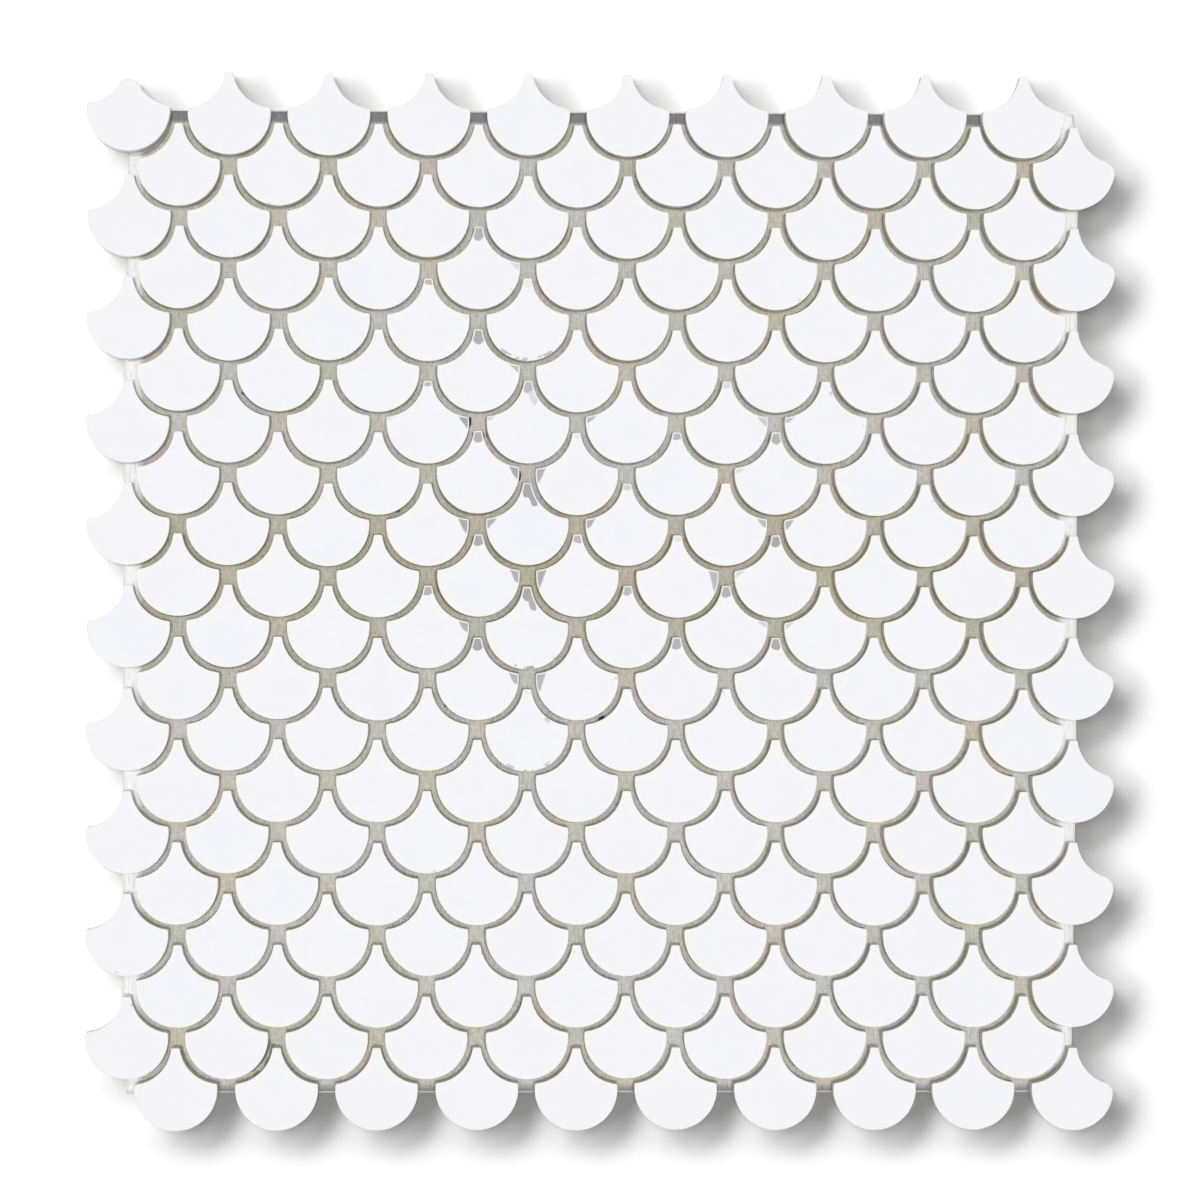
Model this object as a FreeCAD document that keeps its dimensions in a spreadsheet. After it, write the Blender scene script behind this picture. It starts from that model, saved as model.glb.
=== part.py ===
import FreeCAD, Part
import math
import os
import Sketcher

# A sheet of fish scale mosaic: courses of loose stone scales glued, faces up, to one sheet
# of backing mesh. Every second course is shifted by half a scale, and each scale's tip
# reaches up between the round ends of the two scales above it.
# X runs along a course, +Y points the way the tips point and +Z is up, out of the faces.
# The origin is at the middle of the sheet, on its underside. Lengths are in millimetres.

SIZES = (
    ("scale_width", 24.4),
    ("scale_height", 24.4),
    ("scale_thickness", 7.4),
    ("flank_radius", 12.0),
    ("joint_width", 2.25),
    ("neck_width", 5.2),
    ("neck_height", 6.08),
    ("scales_per_course", 10),
    ("course_count", 20),
    ("backing_thickness", 0.6),
    ("backing_end_margin", 1.6),
    ("backing_side_margin", 0.5),
    ("broken_tip_loss", 3.0),
    ("broken_tip_radius", 4.0),
    ("broken_tip_arc", 128),
)

# What follows from the driving sizes, as expressions on the sheet.
SCALE_PITCH = "(sizes.scale_width + sizes.neck_width)"
COURSE_PITCH = "((sizes.scale_height + sizes.neck_height) / 2)"
ROUND_RADIUS = "(sizes.scale_width / 2)"
TIP_RISE = "(sizes.scale_height - sizes.scale_width / 2)"
DIAGONAL = f"sqrt(({SCALE_PITCH} / 2) ^ 2 + {COURSE_PITCH} ^ 2)"
FLANK_REACH = f"({DIAGONAL} - {ROUND_RADIUS} - sizes.joint_width + sizes.flank_radius)"
COURSE_SPAN = f"((sizes.scales_per_course - 1) * {SCALE_PITCH})"
LATTICE_WIDTH = f"((sizes.scales_per_course - 0.5) * {SCALE_PITCH})"
LATTICE_HEIGHT = f"((sizes.course_count - 1) * {COURSE_PITCH})"
BACKING_WIDTH = f"({LATTICE_WIDTH} + 2 * sizes.backing_side_margin)"
BACKING_HEIGHT = f"({LATTICE_HEIGHT} + 2 * sizes.backing_end_margin)"

# Where a sketch constraint holds a whole edge, the start, the end or the centre of a curve.
START, END, CENTRE = range(1, 4)
# The sketch's own axes, as Sketcher numbers them. The first one starts at the origin.
HORIZONTAL_AXIS, VERTICAL_AXIS = range(-1, -3, -1)
ORIGIN = (HORIZONTAL_AXIS, START)


def make_sheet(doc):
    """Put every driving size in a cell of its own, with its name as the alias."""
    sheet = doc.addObject("Spreadsheet::Sheet", "sizes")
    for row, (name, value) in enumerate(SIZES, start=1):
        sheet.set(f"A{row}", name)
        sheet.set(f"B{row}", str(value))
        sheet.setAlias(f"B{row}", name)
    doc.recompute()
    return sheet


def add_sketch(body, name):
    """Attach a new sketch to the body's own XY plane."""
    plane = next(item for item in body.Origin.OriginFeatures if item.Role == "XY_Plane")
    sketch = body.newObject("Sketcher::SketchObject", name)
    sketch.AttachmentSupport = (plane, [""])
    sketch.MapMode = "FlatFace"
    return sketch


def drive(sketch, name, constraint, expression):
    """Add a named constraint whose value follows the sheet."""
    index = sketch.addConstraint(constraint)
    sketch.renameConstraint(index, name)
    sketch.setExpression(f"Constraints.{name}", expression)


def join(sketch, *corners):
    """Make the curve ends of each corner meet."""
    for first, first_end, second, second_end in corners:
        sketch.addConstraint(
            Sketcher.Constraint("Coincident", first, first_end, second, second_end)
        )


def arc(sketch, centre_x, centre_y, radius, start, end):
    """Add an arc that runs anticlockwise between two angles."""
    circle = Part.Circle(
        FreeCAD.Vector(centre_x, centre_y, 0), FreeCAD.Vector(0, 0, 1), radius
    )
    return sketch.addGeometry(Part.ArcOfCircle(circle, start, end), False)


def line(sketch, start_x, start_y, end_x, end_y):
    """Add a straight edge."""
    segment = Part.LineSegment(
        FreeCAD.Vector(start_x, start_y, 0), FreeCAD.Vector(end_x, end_y, 0)
    )
    return sketch.addGeometry(segment, False)


def draw_scale(body, sheet):
    """Draw one scale, with the centre of its round end at the sketch's origin.

    Each flank is hollow, about a point on the line from this scale's centre to that of the
    scale above on its side. The joint between the two is widest on that line, and narrows a
    little towards the shoulder and the tip.
    """
    radius = sheet.scale_width / 2
    flank_radius = sheet.flank_radius
    half_pitch = (sheet.scale_width + sheet.neck_width) / 2
    rise = (sheet.scale_height + sheet.neck_height) / 2
    tip_rise = sheet.scale_height - radius
    diagonal = math.hypot(half_pitch, rise)
    reach = diagonal - radius - sheet.joint_width + flank_radius
    flank_x = reach * half_pitch / diagonal
    flank_y = reach * rise / diagonal

    # The shoulder is where the round end meets the flank's circle.
    along = (radius**2 - flank_radius**2 + reach**2) / (2 * reach)
    across = math.sqrt(radius**2 - along**2)
    shoulder_x = (along * half_pitch + across * rise) / diagonal
    shoulder_y = (along * rise - across * half_pitch) / diagonal
    tip_half = flank_x - math.sqrt(flank_radius**2 - (flank_y - tip_rise) ** 2)

    lean = math.atan2(shoulder_y, shoulder_x)
    to_tip = math.atan2(tip_rise - flank_y, tip_half - flank_x) % (2 * math.pi)
    to_shoulder = math.atan2(shoulder_y - flank_y, shoulder_x - flank_x) % (2 * math.pi)

    sketch = add_sketch(body, body.Name + "_outline")
    round_end = arc(sketch, 0, 0, radius, math.pi - lean, 2 * math.pi + lean)
    right = arc(sketch, flank_x, flank_y, flank_radius, to_tip, to_shoulder)
    left = arc(
        sketch, -flank_x, flank_y, flank_radius, 3 * math.pi - to_shoulder, 3 * math.pi - to_tip
    )
    tip = line(sketch, -tip_half, tip_rise, tip_half, tip_rise)

    join(
        sketch,
        (round_end, CENTRE, *ORIGIN),
        (round_end, END, right, END),
        (right, START, tip, END),
        (tip, START, left, END),
        (left, START, round_end, START),
    )
    sketch.addConstraint(Sketcher.Constraint("Horizontal", tip))
    sketch.addConstraint(Sketcher.Constraint("Equal", right, left))
    sketch.addConstraint(
        Sketcher.Constraint("Symmetric", right, CENTRE, left, CENTRE, VERTICAL_AXIS)
    )
    drive(
        sketch,
        "round_radius",
        Sketcher.Constraint("Radius", round_end, radius),
        ROUND_RADIUS,
    )
    drive(
        sketch,
        "flank_radius",
        Sketcher.Constraint("Radius", right, flank_radius),
        "sizes.flank_radius",
    )
    drive(
        sketch,
        "flank_side",
        Sketcher.Constraint("DistanceX", *ORIGIN, right, CENTRE, flank_x),
        f"{FLANK_REACH} * {SCALE_PITCH} / 2 / {DIAGONAL}",
    )
    drive(
        sketch,
        "flank_rise",
        Sketcher.Constraint("DistanceY", *ORIGIN, right, CENTRE, flank_y),
        f"{FLANK_REACH} * {COURSE_PITCH} / {DIAGONAL}",
    )
    drive(
        sketch,
        "tip_rise",
        Sketcher.Constraint("DistanceY", *ORIGIN, tip, END, tip_rise),
        TIP_RISE,
    )
    return sketch


def make_course(doc, sheet, number):
    """Make one course: a scale, padded to its thickness and repeated along X."""
    label = f"course_{number:02d}_scales"
    body = doc.addObject("PartDesign::Body", label)
    body.Label = label

    sketch = draw_scale(body, sheet)
    scale = body.newObject("PartDesign::Pad", label + "_scale")
    scale.Profile = sketch
    scale.setExpression("Length", "sizes.scale_thickness")
    doc.recompute()

    row = body.newObject("PartDesign::LinearPattern", label + "_row")
    row.Originals = [scale]
    row.Direction = (sketch, ["H_Axis"])
    row.setExpression("Length", COURSE_SPAN)
    row.setExpression("Occurrences", "sizes.scales_per_course")
    body.Tip = row

    # Odd courses start at the sheet's left edge, and even ones half a scale further in.
    inset = "0" if number % 2 else f"{SCALE_PITCH} / 2"
    body.setExpression("Placement.Base.x", f"{inset} - {LATTICE_WIDTH} / 2")
    body.setExpression(
        "Placement.Base.y",
        f"{LATTICE_HEIGHT} / 2 - {number - 1} * {COURSE_PITCH}",
    )
    body.setExpression("Placement.Base.z", "sizes.backing_thickness")
    doc.recompute()
    return body


def break_tip(doc, sheet, body):
    """Knock the tip off the first scale of a course, and leave a blunt round nose."""
    radius = sheet.broken_tip_radius
    half_arc = math.radians(sheet.broken_tip_arc / 2)
    nose = sheet.scale_height - sheet.scale_width / 2 - sheet.broken_tip_loss
    side = radius * math.sin(half_arc)
    foot = nose - radius + radius * math.cos(half_arc)
    top = sheet.scale_height

    sketch = add_sketch(body, body.Name + "_break")
    blunt = arc(
        sketch, 0, nose - radius, radius, math.pi / 2 - half_arc, math.pi / 2 + half_arc
    )
    left = line(sketch, -side, foot, -side, top)
    over = line(sketch, -side, top, side, top)
    right = line(sketch, side, top, side, foot)
    join(
        sketch,
        (blunt, END, left, START),
        (left, END, over, START),
        (over, END, right, START),
        (right, END, blunt, START),
    )
    sketch.addConstraint(Sketcher.Constraint("Vertical", left))
    sketch.addConstraint(Sketcher.Constraint("Vertical", right))
    sketch.addConstraint(Sketcher.Constraint("Horizontal", over))
    sketch.addConstraint(
        Sketcher.Constraint("PointOnObject", blunt, CENTRE, VERTICAL_AXIS)
    )
    drive(
        sketch,
        "nose_radius",
        Sketcher.Constraint("Radius", blunt, radius),
        "sizes.broken_tip_radius",
    )
    drive(
        sketch,
        "nose_arc",
        Sketcher.Constraint("Angle", blunt, 2 * half_arc),
        "sizes.broken_tip_arc * 1 deg",
    )
    drive(
        sketch,
        "nose_centre",
        Sketcher.Constraint("DistanceY", *ORIGIN, blunt, CENTRE, nose - radius),
        f"{TIP_RISE} - sizes.broken_tip_loss - sizes.broken_tip_radius",
    )
    drive(
        sketch,
        "over_rise",
        Sketcher.Constraint("DistanceY", *ORIGIN, over, END, top),
        "sizes.scale_height",
    )

    whole = body.Shape.Volume
    cut = body.newObject("PartDesign::Pocket", body.Name + "_lost_tip")
    cut.Profile = sketch
    cut.Type = "ThroughAll"
    cut.Reversed = True
    body.Tip = cut
    doc.recompute()
    if not body.Shape.Volume < whole:
        raise RuntimeError("the lost tip takes nothing away")


def make_backing(doc, sheet):
    """Make the backing: it is cut a little outside the outermost scales' centre lines."""
    body = doc.addObject("PartDesign::Body", "mesh_backing")
    body.Label = "mesh_backing"
    scale_pitch = sheet.scale_width + sheet.neck_width
    course_pitch = (sheet.scale_height + sheet.neck_height) / 2
    width = (sheet.scales_per_course - 0.5) * scale_pitch + 2 * sheet.backing_side_margin
    height = (sheet.course_count - 1) * course_pitch + 2 * sheet.backing_end_margin

    sketch = add_sketch(body, "mesh_backing_outline")
    bottom = line(sketch, -width / 2, 0, width / 2, 0)
    right = line(sketch, width / 2, 0, width / 2, height)
    top = line(sketch, width / 2, height, -width / 2, height)
    left = line(sketch, -width / 2, height, -width / 2, 0)
    join(
        sketch,
        (bottom, END, right, START),
        (right, END, top, START),
        (top, END, left, START),
        (left, END, bottom, START),
    )
    for edge in (bottom, top):
        sketch.addConstraint(Sketcher.Constraint("Horizontal", edge))
    for edge in (left, right):
        sketch.addConstraint(Sketcher.Constraint("Vertical", edge))
    sketch.addConstraint(
        Sketcher.Constraint("Symmetric", bottom, START, bottom, END, *ORIGIN)
    )
    drive(
        sketch,
        "mesh_width",
        Sketcher.Constraint("DistanceX", bottom, START, bottom, END, width),
        BACKING_WIDTH,
    )
    drive(
        sketch,
        "mesh_height",
        Sketcher.Constraint("DistanceY", right, START, right, END, height),
        BACKING_HEIGHT,
    )
    mesh = body.newObject("PartDesign::Pad", "mesh_backing_sheet")
    mesh.Profile = sketch
    mesh.setExpression("Length", "sizes.backing_thickness")
    body.Tip = mesh
    body.setExpression("Placement.Base.y", f"-{BACKING_HEIGHT} / 2")
    doc.recompute()
    return body


def check(doc, pieces):
    """Stop before anything is written if an object failed or a piece is not sound."""
    for item in doc.Objects:
        if "Invalid" in item.State or "Error" in item.State:
            raise RuntimeError(f"{item.Name} did not recompute: {item.State}")
        if item.isDerivedFrom("Sketcher::SketchObject") and item.solve() != 0:
            raise RuntimeError(f"{item.Name} has constraints that can't all hold")
    for body, solids in pieces:
        shape = body.Shape
        if shape.isNull() or not shape.isValid():
            raise RuntimeError(f"{body.Label} has no valid shape")
        if len(shape.Solids) != solids:
            raise RuntimeError(f"{body.Label} has {len(shape.Solids)} solids, not {solids}")


def write(pieces):
    """Write each piece to a STEP file named after it."""
    os.makedirs("parts", exist_ok=True)
    for body, solids in pieces:
        body.Shape.exportStep(f"parts/{body.Label}.step")
        box = body.Shape.BoundBox
        print(
            f"{body.Label}: {solids} solids, {body.Shape.Volume:.1f} mm3,",
            f"{box.XLength:.2f} x {box.YLength:.2f} x {box.ZLength:.2f} mm",
        )


def main():
    doc = FreeCAD.newDocument("fish_scale_sheet")
    sheet = make_sheet(doc)
    scales = int(sheet.scales_per_course)
    pieces = [(make_backing(doc, sheet), 1)]
    for number in range(1, int(sheet.course_count) + 1):
        pieces.append((make_course(doc, sheet, number), scales))
    break_tip(doc, sheet, doc.getObject("course_01_scales"))
    check(doc, pieces)
    write(pieces)


main()
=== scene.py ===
# %% [markdown]
# # A sheet of fish scale mosaic
#
# The real object is a sheet of small white stone scales, cut by water jet, honed on their
# faces and glued face up to a sheet of woven mesh. It lies flat, and the camera looks
# straight down on it.
#
# The lesson builds it the way the factory does. First comes the view, because it decides
# how much detail is worth making. Then come the scales, the mesh under them and the glue
# that holds the two together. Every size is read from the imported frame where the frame
# has it, so that each piece lands exactly where its solid is.

# %% Load the frame
import math

import bpy
import numpy as np
from mathutils import Matrix, Vector


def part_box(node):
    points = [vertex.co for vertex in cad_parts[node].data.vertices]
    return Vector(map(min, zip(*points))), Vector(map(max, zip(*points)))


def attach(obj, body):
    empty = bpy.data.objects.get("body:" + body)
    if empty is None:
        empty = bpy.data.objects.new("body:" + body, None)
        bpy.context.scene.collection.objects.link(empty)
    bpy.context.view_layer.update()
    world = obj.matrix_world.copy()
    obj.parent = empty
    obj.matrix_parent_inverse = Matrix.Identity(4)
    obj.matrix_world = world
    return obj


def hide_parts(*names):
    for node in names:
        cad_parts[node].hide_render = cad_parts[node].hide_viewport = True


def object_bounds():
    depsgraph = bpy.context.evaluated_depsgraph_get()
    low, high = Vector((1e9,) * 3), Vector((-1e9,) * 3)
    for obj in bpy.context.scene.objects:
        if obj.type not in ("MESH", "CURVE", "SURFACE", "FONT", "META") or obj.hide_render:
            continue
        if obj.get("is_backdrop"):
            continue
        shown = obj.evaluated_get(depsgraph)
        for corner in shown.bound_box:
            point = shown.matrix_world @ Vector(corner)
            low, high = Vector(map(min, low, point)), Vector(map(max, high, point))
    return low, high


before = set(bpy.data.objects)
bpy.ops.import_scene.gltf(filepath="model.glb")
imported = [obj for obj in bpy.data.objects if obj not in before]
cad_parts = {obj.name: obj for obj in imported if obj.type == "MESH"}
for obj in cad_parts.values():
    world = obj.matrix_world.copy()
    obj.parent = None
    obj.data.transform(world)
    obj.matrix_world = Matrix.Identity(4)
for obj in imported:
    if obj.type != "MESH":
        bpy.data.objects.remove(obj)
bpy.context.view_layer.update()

MM = 0.001
courses = sorted(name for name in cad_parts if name.startswith("course_"))

# %% [markdown]
# ## Sizes
#
# A scale's outline needs only a few numbers: its width and height, the pitch of the
# scales along a course, the pitch of the courses, the joint, and the radius of its hollow
# flanks. All of them could be typed in, but then the scene would stay behind when the part
# changes. Most are measured on the frame's boxes instead. Only the count along a course,
# the joint and the flanks' radius are written here, because a box doesn't show them.

# %% Measure the lattice
SCALES_PER_COURSE = 10
JOINT = 2.25 * MM
FLANK_RADIUS = 12.0 * MM

odd_low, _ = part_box(courses[0])
even_low, even_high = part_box(courses[1])
half_pitch = even_low.x - odd_low.x
scale_pitch = 2 * half_pitch
course_pitch = odd_low.y - even_low.y
scale_height = even_high.y - even_low.y
scale_width = even_high.x - even_low.x - (SCALES_PER_COURSE - 1) * scale_pitch
seat = even_low.z
face = even_high.z
round_radius = scale_width / 2
tip_rise = scale_height - round_radius

to_next = Vector((half_pitch, course_pitch))
flank_reach = to_next.length - round_radius - JOINT + FLANK_RADIUS
flank_centre = to_next.normalized() * flank_reach

print(f"scale {scale_width / MM:.2f} x {scale_height / MM:.2f} mm")
print(f"pitch {scale_pitch / MM:.2f} mm, courses {course_pitch / MM:.2f} mm apart")
print(f"stone from {seat / MM:.2f} to {face / MM:.2f} mm above the floor")

# %% [markdown]
# ## The camera
#
# The photo is taken from straight above, a metre and a half away. Its courses run very
# slightly together towards the right, which shows that the camera leans by less than two
# degrees. An orthographic camera would be simpler, but it shows no side walls. A long
# lens gives the little perspective there is: near the corners the joints look narrower,
# because a bit of each scale's side wall shows.

# %% Place the camera
CAMERA_DISTANCE = 1.5
SENSOR_WIDTH = 36
CAMERA_LENS = 151.42
CAMERA_AIM = Vector((-0.57 * MM, 0.53 * MM, face))
CAMERA_YAW = math.radians(-1.794)
CAMERA_PITCH = math.radians(0.195)
CAMERA_ROLL = math.radians(0.112)

camera_data = bpy.data.cameras.new("camera")
camera_data.sensor_width = SENSOR_WIDTH
camera_data.lens = CAMERA_LENS
camera = bpy.data.objects.new("camera", camera_data)
bpy.context.collection.objects.link(camera)
lean = (
    Matrix.Rotation(CAMERA_YAW, 4, "Y")
    @ Matrix.Rotation(CAMERA_PITCH, 4, "X")
    @ Matrix.Rotation(CAMERA_ROLL, 4, "Z")
)
stands_at = CAMERA_AIM + lean @ Vector((0, 0, CAMERA_DISTANCE))
camera.matrix_world = Matrix.Translation(stands_at) @ lean
bpy.context.scene.camera = camera
print("camera at", camera.matrix_world.translation)

# %% [markdown]
# ## Light
#
# The sheet is lit from straight above, by a broad soft lamp and a narrow one. The narrow
# one's light falls down the joints and shows their floors, which the broad one hardly
# reaches. In the photo the joints are as dark on their left as on their right, but the
# shadow on the board falls to the lower right. One set of lamps can't do both, so the
# sheet and the board each have lamps of their own. The board's lamps throw the shadow to
# the right, down to the right and down, and one faint lamp throws a little to the left, so
# that the shadow fades evenly on all sides as in the photo.
#
# An area lamp would be brighter in the middle than at the corners. All the lamps are suns
# instead, because a sun lights the whole sheet evenly, and its angle sets how soft the
# shadows are. On the sheet and on the board the shares add up to about 1, a level at
# which a colour renders about as it is written.

# %% Set the light
SKY_SHARE = 0.08
STRAIGHT_DOWN = Vector((0, 0, -1))
# Each lamp is (name, share of the light, way that its light travels, angle in degrees).
SHEET_LAMPS = (
    ("broad lamp", 0.50, STRAIGHT_DOWN, 100),
    ("overhead lamp", 0.40, STRAIGHT_DOWN, 13),
)
BOARD_LAMPS = (
    ("board lamp", 0.07, STRAIGHT_DOWN, 13),
    ("first rightward lamp", 0.15, Vector((1.50, 0.20, -1)), 24),
    ("second rightward lamp", 0.18, Vector((1.45, -0.39, -1)), 22),
    ("low slanting lamp", 0.13, Vector((1.73, -1.00, -1)), 22),
    ("slanting lamp", 0.21, Vector((1.06, -1.06, -1)), 22),
    ("first downward lamp", 0.10, Vector((0.75, -1.30, -1)), 22),
    ("second downward lamp", 0.09, Vector((0.39, -1.45, -1)), 22),
    ("leftward lamp", 0.09, Vector((-0.62, -1.16, -1)), 30),
)

scene = bpy.context.scene
scene.view_settings.view_transform = "Standard"

world = bpy.data.worlds.new("even white sky")
world.use_nodes = True
sky = world.node_tree.nodes["Background"].inputs
sky["Color"].default_value = (1, 1, 1, 1)
sky["Strength"].default_value = SKY_SHARE
scene.world = world


def hang_sun(name, travel, share, angle, lit):
    """A sun whose light travels this way and gives level things this share of the light."""
    way = travel.normalized()
    data = bpy.data.lights.new(name, "SUN")
    data.angle = angle
    data.energy = share * math.pi / -way.z
    lamp = bpy.data.objects.new(name, data)
    lamp.rotation_euler = way.to_track_quat("-Z", "Y").to_euler()
    lamp.light_linking.receiver_collection = lit
    bpy.context.collection.objects.link(lamp)
    print(f"{name}: {math.degrees(math.acos(-way.z)):.0f} degrees off the vertical")


sheet_only = bpy.data.collections.new("the sheet")
board_only = bpy.data.collections.new("the board")
for lit, lamps in ((sheet_only, SHEET_LAMPS), (board_only, BOARD_LAMPS)):
    for name, share, way, degrees in lamps:
        hang_sun(name, way, share, math.radians(degrees), lit)

# %% [markdown]
# ## Helpers for materials
#
# Every material below is a small node tree. Written out node by node, such trees hide what
# they do. So a few helpers stand for the steps that come again and again: add a node, make
# a group, do one sum, turn a distance into a mask, mix two colours.

# %% Add nodes and groups
FLOAT = "NodeSocketFloat"
COLOUR = "NodeSocketColor"
VECTOR = "NodeSocketVector"


def fill(tree, socket, value):
    """Link a socket to another one, or set its value."""
    if isinstance(value, bpy.types.NodeSocket):
        tree.links.new(value, socket)
    else:
        socket.default_value = value


def node(tree, kind, inputs=None, **settings):
    """Add a node, set its properties, then fill its inputs with values or links."""
    made = tree.nodes.new(kind)
    for name, value in settings.items():
        setattr(made, name, value)
    for name, value in (inputs or {}).items():
        fill(tree, made.inputs[name], value)
    return made


def group(name, inputs, outputs):
    """Make a node group, and give its tree, what comes in and what goes out.

    Each socket is (name, type) or (name, type, default).
    """
    tree = bpy.data.node_groups.new(name, "ShaderNodeTree")
    for title, kind, *default in inputs:
        socket = tree.interface.new_socket(title, in_out="INPUT", socket_type=kind)
        if default:
            socket.default_value = default[0]
    for title, kind in outputs:
        tree.interface.new_socket(title, in_out="OUTPUT", socket_type=kind)
    return tree, tree.nodes.new("NodeGroupInput").outputs, tree.nodes.new("NodeGroupOutput").inputs


def use(tree, group_tree, inputs):
    """Place a group in a tree with its own values, and give its outputs."""
    return node(tree, "ShaderNodeGroup", inputs, node_tree=group_tree).outputs


def material(name):
    """Make an empty material and return it with its tree and its shader."""
    made = bpy.data.materials.new(name)
    made.use_nodes = True
    return made, made.node_tree, made.node_tree.nodes["Principled BSDF"]


# %% Places and numbers
def attribute(tree, name, output="Fac"):
    """Read what the mesh stores under this name."""
    return node(tree, "ShaderNodeAttribute", attribute_name=name).outputs[output]


def axis(tree, vector, name):
    """One part of a vector: X, Y or Z."""
    return node(tree, "ShaderNodeSeparateXYZ", {"Vector": vector}).outputs[name]


def mapped(tree, place, scale=(1, 1, 1), shift=(0, 0, 0)):
    """A place, moved and then drawn out or squeezed along each axis."""
    inputs = {"Vector": place, "Location": shift, "Scale": scale}
    return node(tree, "ShaderNodeMapping", inputs).outputs["Vector"]


def noise(tree, place, scale, detail, output="Fac", **more):
    """Even random noise, as values round a half or as colours."""
    inputs = {"Vector": place, "Scale": scale, "Detail": detail, **more}
    return node(tree, "ShaderNodeTexNoise", inputs).outputs[output]


def vector_math(tree, operation, *inputs):
    """One sum on vectors. Lengths and distances come out as a number."""
    made = node(tree, "ShaderNodeVectorMath", dict(enumerate(inputs)), operation=operation)
    return made.outputs["Value" if operation in ("LENGTH", "DISTANCE") else "Vector"]


def math_node(tree, operation, first, second=0.0, third=0.0, clamp=False):
    """One sum, product, power or the like, as an output socket."""
    inputs = {0: first, 1: second, 2: third}
    return node(tree, "ShaderNodeMath", inputs, operation=operation, use_clamp=clamp).outputs[0]


def times(tree, first, second):
    """The product of two numbers."""
    return math_node(tree, "MULTIPLY", first, second)


# %% Masks and colours
def above(tree, value, low, high):
    """0 below low, 1 above high, smooth in between."""
    inputs = {"Value": value, "From Min": low, "From Max": high}
    return node(tree, "ShaderNodeMapRange", inputs, interpolation_type="SMOOTHSTEP").outputs["Result"]


def inverse(tree, mask):
    """1 where the mask is 0, and 0 where it is 1."""
    return math_node(tree, "SUBTRACT", 1.0, mask)


def below(tree, value, low, high):
    """1 below low, 0 above high, smooth in between."""
    return inverse(tree, above(tree, value, low, high))


def blend_colours(tree, share, first, second, mode="MIX"):
    """Mix two colours by a share, as an output socket."""
    inputs = {0: share, 6: first, 7: second}
    return node(tree, "ShaderNodeMix", inputs, data_type="RGBA", blend_type=mode).outputs[2]


def tinted(tree, colour, tint):
    """A colour with a tint or a shade over all of it."""
    return blend_colours(tree, 1.0, colour, tint, "MULTIPLY")


def add_bump(tree, shader, height, strength, distance):
    """Let a height tilt the surface of a shader."""
    inputs = {"Height": height, "Strength": strength, "Distance": distance}
    fill(tree, shader.inputs["Normal"], node(tree, "ShaderNodeBump", inputs).outputs["Normal"])


# %% [markdown]
# ## Shared effects
#
# Stone, glue and yarn all have soft clouds of colour and a fine grain. A picture of them
# would blur from close by, and one noise node for each use would be written many times
# over. So each effect is a node group, built once and placed in each material with its own
# scale and strength. Dirt that settles low down in the joints is a group as well. It is
# strongest at the foot of a wall, and patches break it up.

# %% Soft clouds
clouds, given, out = group(
    "soft clouds",
    [
        ("Place", VECTOR),
        ("Scale", FLOAT, 1.0),
        ("Detail", FLOAT, 3.0),
        ("Low", FLOAT, 0.35),
        ("High", FLOAT, 0.65),
    ],
    [("Mask", FLOAT)],
)
puffs = noise(clouds, given["Place"], given["Scale"], given["Detail"])
fill(clouds, out["Mask"], above(clouds, puffs, given["Low"], given["High"]))
print(clouds.name, "in", len(clouds.nodes), "nodes")

# %% Fine grain
FINE_DETAIL, FINE_ROUGHNESS = 4.0, 0.7
COARSE_SCALE, COARSE_DETAIL = 0.18, 2.0

grain, given, out = group(
    "fine grain",
    [("Place", VECTOR), ("Scale", FLOAT, 4.0), ("Coarse", FLOAT, 0.4)],
    [("Height", FLOAT)],
)
fine = noise(grain, given["Place"], given["Scale"], FINE_DETAIL, Roughness=FINE_ROUGHNESS)
coarse = noise(grain, given["Place"], times(grain, given["Scale"], COARSE_SCALE), COARSE_DETAIL)
fill(grain, out["Height"], math_node(grain, "ADD", fine, times(grain, coarse, given["Coarse"])))
print(grain.name, "in", len(grain.nodes), "nodes")

# %% Settled dirt
PATCH_SCALE, PATCH_DETAIL, PATCH_GAIN = 0.5, 4.0, 1.6

dirt, given, out = group(
    "settled dirt",
    [("Place", VECTOR), ("Height", FLOAT, 0.0), ("Reach", FLOAT, 2.0), ("Amount", FLOAT, 0.5)],
    [("Mask", FLOAT)],
)
low_down = math_node(dirt, "DIVIDE", given["Height"], given["Reach"])
low_down = math_node(dirt, "SUBTRACT", 1.0, low_down, clamp=True)
patches = times(dirt, noise(dirt, given["Place"], PATCH_SCALE, PATCH_DETAIL), PATCH_GAIN)
settled = math_node(dirt, "MULTIPLY", times(dirt, low_down, patches), given["Amount"], clamp=True)
fill(dirt, out["Mask"], settled)
print(dirt.name, "in", len(dirt.nodes), "nodes")

# %% [markdown]
# ## The stain of the glue
#
# Glue dries to a dull taupe with patches of grey green, olive, ochre and rose, a few
# centimetres across. It soaks the yarns, covers the film between them and creeps up the
# feet of the scales, so all of these share one group. Layers of soft clouds, one for each
# tint, give patches that no picture would have to hold. Three things depend on the place
# on the sheet: a yellower belt across the middle, a slightly darker upper part, and one
# rose spot. The weave shows through the glue as faint upright and level lines, which are
# two noises drawn out along the yarns.

# %% Glue stain
TAUPE = (0.84, 0.83, 0.80, 1)
OLIVE = (0.79, 0.80, 0.68, 1)
OCHRE = (0.85, 0.79, 0.66, 1)
ROSE = (0.87, 0.80, 0.79, 1)
GREY_GREEN = (0.82, 0.85, 0.84, 1)
TINT_STRENGTH = 0.9
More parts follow.
